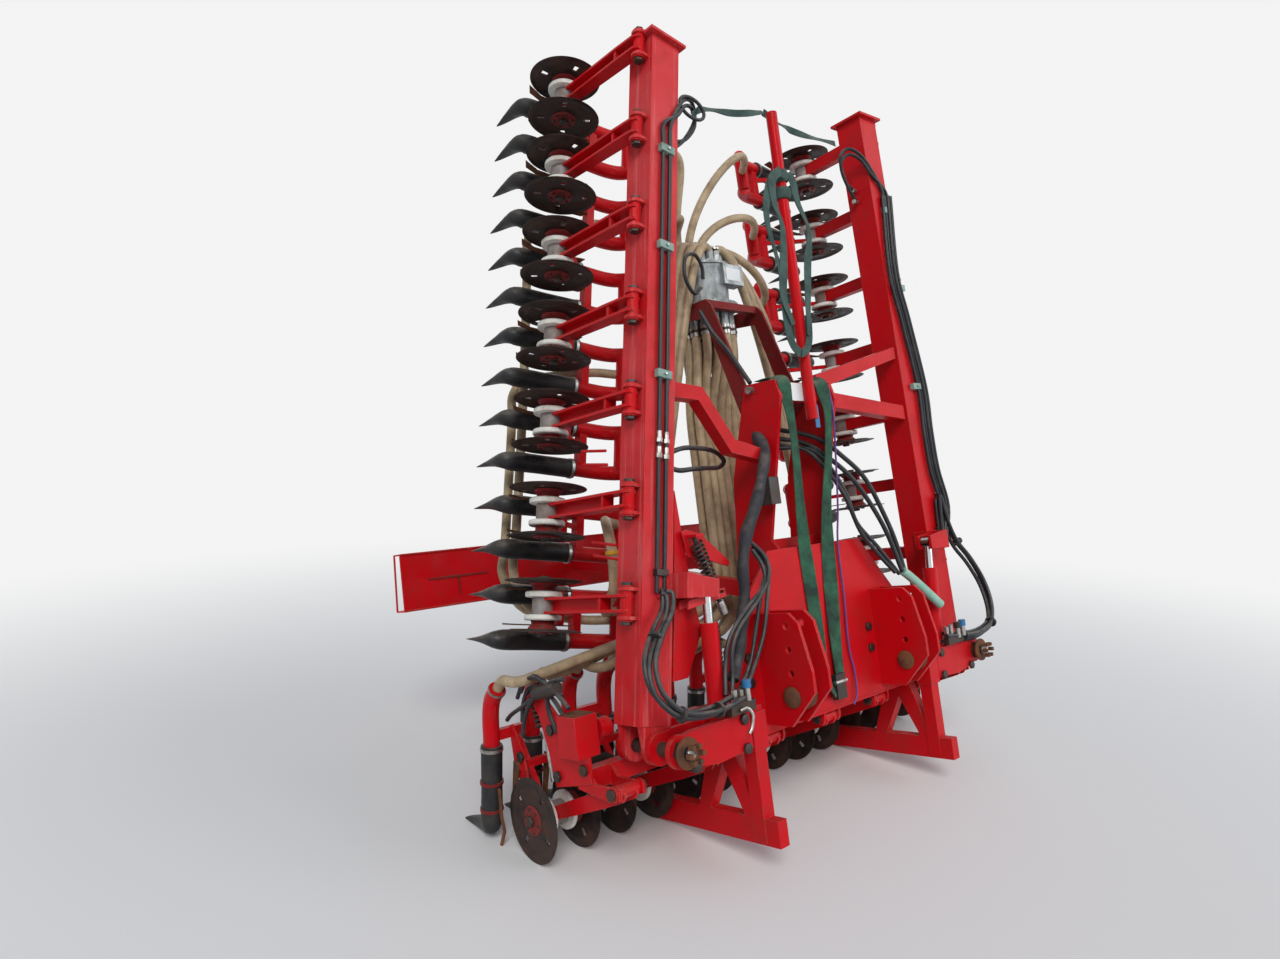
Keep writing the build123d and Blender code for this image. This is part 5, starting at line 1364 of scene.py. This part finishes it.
def spring_shape(start, end, radius, wire, turns, per_turn=18):
    """A coil spring between two points: a helix with the radius and number of turns given, carried by a
    round wire."""
    start, end = np.array(start, float), np.array(end, float)
    way = (end - start) / np.linalg.norm(end - start)
    side = np.cross(way, (0.0, 1.0, 0.0))
    side /= np.linalg.norm(side)
    other = np.cross(way, side)
    t = np.linspace(0, 1, turns * per_turn + 1)
    angle = 2 * math.pi * turns * t
    line = start + t[:, None] * (end - start)
    line = line + radius * (np.cos(angle)[:, None] * side + np.sin(angle)[:, None] * other)
    return carried_shape(round_section(wire, 8), line, tuple(way))


def outline_plate(outline, front, thick):
    """A flat plate across the machine: its outline is a list of (x, z), and it lies behind its front
    face."""
    turned = plate_shape([(x, z) for x, z in outline], -front - thick, -front)
    return turned[0][:, (1, 0, 2)] * (1, -1, 1), turned[1]


SPRING_TOP, SPRING_FOOT = (-0.757, -0.262, 1.128), (-0.690, -0.262, 0.950)
SPRING_ROD = ((-0.764, -0.262, 1.150), (-0.655, -0.262, 0.858))
SPRING_STUD = ((-0.672, -0.262, 0.900), (-0.652, -0.262, 0.850))
SPRING_ROD_RADIUS, STUD_RADIUS = 0.009, 0.017
BOOT_LENGTH, BOOT_RADIUS, BOOT_FOLD, BOOT_FOLDS = 0.215, 0.032, 0.005, 26
BOOT_AT, BOOT_LEAN = (-0.735, -0.262, 0.822), 92
shapes = [(spring_shape(SPRING_TOP, SPRING_FOOT, radius=0.023, wire=0.0048, turns=11), oily_steel)]
shapes.append((rod_shape(*SPRING_ROD, SPRING_ROD_RADIUS), oily_steel))
shapes.append((rod_shape(*SPRING_STUD, STUD_RADIUS, 14), zinc))
folds = [(BOOT_LENGTH * i / BOOT_FOLDS, BOOT_RADIUS + BOOT_FOLD * (i % 2)) for i in range(BOOT_FOLDS + 1)]
boot_profile = [(0.0, 0.0)] + folds + [(BOOT_LENGTH, 0.0)]
boot = turned_by(turned_shape(boot_profile, 20), "y", BOOT_LEAN)
shapes.append((shifted(boot, BOOT_AT), black_rubber))
TOP_BRACKET = (
    (-0.800, 1.175), (-0.770, 1.182), (-0.700, 1.160), (-0.560, 1.042), (-0.570, 1.022), (-0.690, 1.062),
    (-0.780, 1.080),
)
shapes.append((outline_plate(TOP_BRACKET, front=-0.236, thick=0.008), red_paint))
BRACKET_FOOT = ((-0.780, -0.290, 1.150), (-0.735, -0.228, 1.162))
shapes.append((box_shape(*BRACKET_FOOT), red_paint))
LEVER = ((-0.860, 0.893), (-0.852, 0.925), (-0.660, 0.948), (-0.652, 0.915))
LEVER_FRONTS, LEVER_THICK = (-0.286, -0.240), 0.010
shapes += [(outline_plate(LEVER, front, LEVER_THICK), faded_paint) for front in LEVER_FRONTS]
LEVER_BLOCK = ((-0.705, -0.286, 0.928), (-0.660, -0.230, 0.944))
shapes.append((box_shape(*LEVER_BLOCK), rusted))
bolt_across = turned_by(BOLT_HEAD, "z", -90)
bolt_places = [(x, PANEL_FRONT, z) for x, z in PANEL_BOLTS]
shapes.append((shifted(bolt_across, *bolt_places), oily_steel))
washer = turned_shape(
    ((0.0, 0.0), (0.0, 0.040), (0.006, 0.042), (0.012, 0.034), (0.022, 0.020), (0.022, 0.0)), 32
)
ROLLER = (
    (-0.038, 0.0), (-0.038, 0.046), (-0.030, 0.052), (-0.010, 0.050), (0.004, 0.058), (0.030, 0.054),
    (0.038, 0.046), (0.038, 0.0),
)
roller = turned_shape(ROLLER, 32)
for sign in (-1, 1):
    place = (sign * HITCH_X, HITCH_FRONT_Y, HITCH_FOOT_Z)
    inner, outer = np.subtract(place, (HITCH_HALF, 0, 0)), np.add(place, (HITCH_HALF, 0, 0))
    shapes.append((shifted(sided(washer, -1), inner), rusted))
    shapes.append((shifted(washer, outer), rusted))
    shapes.append((shifted(roller, place), rusted))
for sign in (-1, 1):
    bolt_places = [(sign * x, HINGE_PLATE_FRONT, z) for x, z in HINGE_BOLTS]
    shapes += [(shifted(bolt_across, place), oily_steel) for place in bolt_places]
    lock = [(sign * PIN_X, y, PIN_Z) for y in LOCK_ENDS_Y]
    shapes.append((rod_shape(*lock, LOCK_RADIUS, 20), zinc))
piece("frame_steelwork", shapes, "frame", bevel=0.0015)


# The end arms' own parts, welded and bolted to them: knee plate, box with a stub tube, strut, coil spring
# with its cables, and the knives beside the outlets of all centre arms.
KNEE = (
    (0.246, 0.670), (0.287, 0.605), (0.241, 0.547), (0.194, 0.409), (0.171, 0.292), (0.020, 0.318),
    (-0.055, 0.335), (-0.055, 0.425), (0.124, 0.430), (0.097, 0.538),
)
KNEE_X, KNEE_HALF, BLADE_HALF = 1.200, 0.005, 0.004
KNEE_BOLTS = ((0.166, 0.502), (0.395, 0.379), (-0.020, 0.378), (0.150, 0.335))
CABLE_RADIUS, CABLE_PITCH, CABLE_START = 0.0085, 0.006, 0.012
KNIFE_SHARE = 0.965
STUB_RADIUS, STRUT_RADIUS, END_ROD_RADIUS = 0.036, 0.026, 0.009
STUB_AT, STUB_ENDS = (-0.030, 0.510), (0.062, 0.110)
BOX_HALF, BOX_FOOT, BOX_TOP = 0.050, (-0.052, 0.425), (0.058, 0.572)
BOX_LID_HALF, LID_FOOT, LID_TOP = 0.046, (-0.048, 0.5722), (0.054, 0.5742)
STRUT = ((0.060, 0.668), (0.205, 0.640))
END_ROD = ((0.245, 0.490), (0.225, 0.300))
END_SPRING = ((0.300, 0.660), (0.262, 0.500))
STRUT_ASIDE, END_ROD_ASIDE, END_SPRING_ASIDE = 0.030, -0.020, -0.022
BLADE_PLATE = (
    (0.445, 0.500), (0.385, 0.400), (0.360, 0.262), (0.415, 0.262), (0.455, 0.330), (0.470, 0.490),
)
CABLES = (
    ((0.060, 0.560), (0.120, 0.620), (0.210, 0.660), (0.280, 0.650), (0.330, 0.590), (0.350, 0.520)),
    ((0.110, 0.500), (0.150, 0.580), (0.150, 0.650), (0.210, 0.700), (0.300, 0.680), (0.360, 0.610)),
    ((0.020, 0.700), (0.090, 0.690), (0.180, 0.650), (0.300, 0.590), (0.400, 0.548), (0.445, 0.520)),
    ((0.030, 0.640), (0.140, 0.655), (0.240, 0.610), (0.300, 0.540), (0.330, 0.470)),
    ((-0.010, 0.600), (0.060, 0.650), (0.170, 0.700), (0.250, 0.690), (0.300, 0.640)),
)
KNIFE = (
    (0.472, 0.262), (0.486, 0.262), (0.490, 0.150), (0.478, 0.100), (0.512, 0.040), (0.500, 0.036),
    (0.462, 0.098), (0.474, 0.152),
)
KNIFE_STEEL = plate_shape(KNIFE, -BLADE_HALF, BLADE_HALF)
shapes = []
for sign in (-1, 1):
    x = sign * KNEE_X
    shapes.append((plate_shape(KNEE, x - KNEE_HALF, x + KNEE_HALF), red_paint))
    shapes.append((plate_shape(BLADE_PLATE, x - BLADE_HALF, x + BLADE_HALF), red_paint))
    shapes.append((box_shape((x - BOX_HALF, *BOX_FOOT), (x + BOX_HALF, *BOX_TOP)), red_paint))
    shapes.append((box_shape((x - BOX_LID_HALF, *LID_FOOT), (x + BOX_LID_HALF, *LID_TOP)), rusted))
    stub_ends = [(x - sign * reach, *STUB_AT) for reach in STUB_ENDS]
    shapes.append((rod_shape(*stub_ends, STUB_RADIUS, 24), red_paint))
    for y, z in KNEE_BOLTS:
        shapes.append((shifted(sided(BOLT_HEAD, sign), (x + sign * KNEE_HALF, y, z)), oily_steel))
    strut = [(x + sign * STRUT_ASIDE, *end) for end in STRUT]
    rod = [(x + sign * END_ROD_ASIDE, *end) for end in END_ROD]
    spring = [(x + sign * END_SPRING_ASIDE, *end) for end in END_SPRING]
    shapes.append((rod_shape(*strut, STRUT_RADIUS, 18), oily_steel))
    shapes.append((rod_shape(*rod, END_ROD_RADIUS), zinc))
    shapes.append((spring_shape(*spring, radius=0.024, wire=0.0055, turns=9), oily_steel))
    for lane, cable in enumerate(CABLES):
        route = [(x + sign * (CABLE_START + CABLE_PITCH * lane), y, z) for y, z in cable]
        shapes.append((line_shape(route, CABLE_RADIUS, 8), hose_rubber))
knives = [(x + offset * KNIFE_SHARE, 0.0, 0.0) for x in CENTRE_ARM_XS for offset in outlet_offsets(x)]
shapes.append((shifted(KNIFE_STEEL, *knives), rusted))
piece("end_arm_parts", shapes, "frame", bevel=0.0012)

# Rear board: two dark strips on the board's face, which are painted shade of a T-shaped dent and the
# shadows of its bracket's bolts, and the rolled edges of the pressed sheet.
BOARD_FACE_Y, STRIP_THICK = 1.230, 0.006
BOARD_SHADE_STRIPS = (((-1.115, 1.096), (-0.790, 1.106)), ((-0.960, 1.010), (-0.950, 1.100)))
END_EDGE_X, END_EDGE = 1.247, ((1.298, 1.231), (1.318, 0.964))
LONG_EDGE_X, LONG_EDGE_Y, LONG_EDGES_Z = 1.245, BOARD_FACE_Y - 0.003, (0.9655, 1.2315)
END_EDGE_RADIUS, LONG_EDGE_RADIUS = 0.005, 0.0045
shapes = []
# The strips' dark paint is painted shade, where a dent and bolts shade the board.
for (left, foot), (right, top) in BOARD_SHADE_STRIPS:
    strip = box_shape((left, BOARD_FACE_Y - STRIP_THICK, foot), (right, BOARD_FACE_Y, top))
    shapes.append((strip, dark_paint_and_shade))
for sign in (-1, 1):
    edge = [(sign * END_EDGE_X, y, z) for y, z in END_EDGE]
    shapes.append((rod_shape(*edge, END_EDGE_RADIUS, 8), red_paint))
for z in LONG_EDGES_Z:
    edge = [(x, LONG_EDGE_Y, z) for x in (-LONG_EDGE_X, LONG_EDGE_X)]
    shapes.append((rod_shape(*edge, LONG_EDGE_RADIUS, 8), red_paint))
piece("rear_board_trim", shapes, "frame")

# Right wing steelwork: the long gusset in the plane of the beam's front, and hose guides behind the beam
# with a yellow clamp round the hose that they hold. Two more slurry hoses lie behind the wing's outlets.
yellow_clamp = plastic("yellow clamp", (0.62, 0.34, 0.02, 1), (0.30, 0.18, 0.05, 1), staining=0.35)
GUSSET = (
    (-0.790, 1.335), (-0.765, 0.969), (-0.737, 0.797), (-0.835, 0.640), (-0.912, 0.640), (-0.862, 0.900),
    (-0.805, 1.250),
)
GUIDE_X, GUIDE_ROOT_Y, GUIDE_END_Y, GUIDE_RISE, GUIDE_RADIUS = -0.985, -0.072, 0.075, 0.022, 0.006
GUIDE_ZS = (1.513, 1.460, 1.155, 1.103)
shapes = [(outline_plate(GUSSET, front=-0.2155, thick=0.012), red_paint)]
for z in GUIDE_ZS:
    prong = rod_shape((GUIDE_X, GUIDE_ROOT_Y, z), (GUIDE_X, GUIDE_END_Y, z + GUIDE_RISE), GUIDE_RADIUS, 10)
    shapes.append((prong, red_paint))
shapes.append((band_shape((-0.905, 0.060, 1.129), (0, 0, 1), radius=0.026, width=0.016), yellow_clamp))
GUIDED = (
    (-0.570, 0.405, 1.244), (-0.700, 0.330, 1.262), (-0.840, 0.160, 1.255), (-0.900, 0.075, 1.200),
    (-0.905, 0.060, 1.129), (-0.905, 0.075, 0.990), (-0.860, 0.200, 0.905), (-0.740, 0.345, 0.875),
    (-0.640, 0.405, 0.868),
)
shapes.append((line_shape(GUIDED, HOSE_RADIUS, HOSE_SIDES), beige_hose))
piece("right_wing_steelwork", shapes, "wing_right", bevel=0.0012)

# Each feed hose has a long run at its own y and z, a little wavy, that ends at its own distance from the
# middle. Both its ends rise to an outlet's pipe.
FEED_HOSES = ((0.640, 0.330, 3.25), (0.695, 0.310, 2.49))
FEED_START = ((-1.48, 0.440, 0.720), (-1.48, 0.530, 0.600))
FEED_RUN_FROM, WAVE_BACK, WAVE_UP = 1.66, 0.006, 0.008
shapes = []
for y, z, end in FEED_HOSES:
    run = [
        (-x, y + WAVE_BACK * math.sin(4 * x), z + WAVE_UP * math.cos(3 * x))
        for x in np.linspace(FEED_RUN_FROM, end, 9)
    ]
    rise = ((-end - 0.08, y - 0.030, z + 0.070), (-end - 0.13, 0.520, 0.600), (-end - 0.13, 0.440, 0.720))
    route = (*FEED_START, (-1.52, y - 0.020, 0.420), *run, *rise)
    shapes.append((line_shape(route, HOSE_RADIUS, HOSE_SIDES), beige_hose))
piece("right_wing_feed_hoses", shapes, "wing_right", folded("right"))

# Fold pins: the six teeth of each pin's castle nut, and the rusted washer under it.
PIN_END_Y, CASTLE_RING, CASTLE_HALF = -0.410, 0.029, 0.008
CASTLE_FRONT, CASTLE_BACK = 0.010, 0.014
PIN_WASHER_YS, PIN_WASHER_RADIUS = (PIN_END_Y + 0.036, PIN_END_Y + 0.044), 0.054
shapes = []
for sign in (-1, 1):
    pin = np.array((sign * PIN_X, PIN_END_Y, PIN_Z))
    for angle in np.linspace(0, 2 * math.pi, 6, endpoint=False):
        place = pin + (CASTLE_RING * math.cos(angle), 0, CASTLE_RING * math.sin(angle))
        low = place - (CASTLE_HALF, CASTLE_FRONT, CASTLE_HALF)
        high = place + (CASTLE_HALF, CASTLE_BACK, CASTLE_HALF)
        shapes.append((box_shape(low, high), rusted))
    washer_ends = [(sign * PIN_X, y, PIN_Z) for y in PIN_WASHER_YS]
    shapes.append((rod_shape(*washer_ends, PIN_WASHER_RADIUS, 28), rusted))
piece("fold_pin_nuts", shapes, "frame", bevel=0.001)


# Frames, arms and plates keep their CAD solids: they are welded from steel and sprayed red. The rods are
# chromed, and the other solids have the finish of what they are made of.
chromed = metal(
    "chromed rod",
    (0.72, 0.73, 0.75, 1),
    (0.35, 0.33, 0.30, 1),
    staining=0.3,
    rough_low=0.08,
    rough_high=0.35,
)
CAD_FINISHES = {
    "red_paint": red_paint,
    "disc_steel": disc_steel,
    "blade_steel": rusted,
    "black_rubber": black_rubber,
    "zinc_steel": zinc,
    "galvanised": galvanised,
    "chrome_rod": chromed,
    "beige_hose": beige_hose,
}
FINISH_OF_NODE = {
    "wing_right_beam": faded_paint,
    "hinge_pins": oily_steel,
    "distributor_bracket": dark_paint_and_shade,
}
for part in frame["record"]["subparts"]:
    node = frame["nodes"][part["node"]]
    node.data.materials.clear()
    node.data.materials.append(FINISH_OF_NODE.get(part["node"], CAD_FINISHES[part["material_slot"]]))
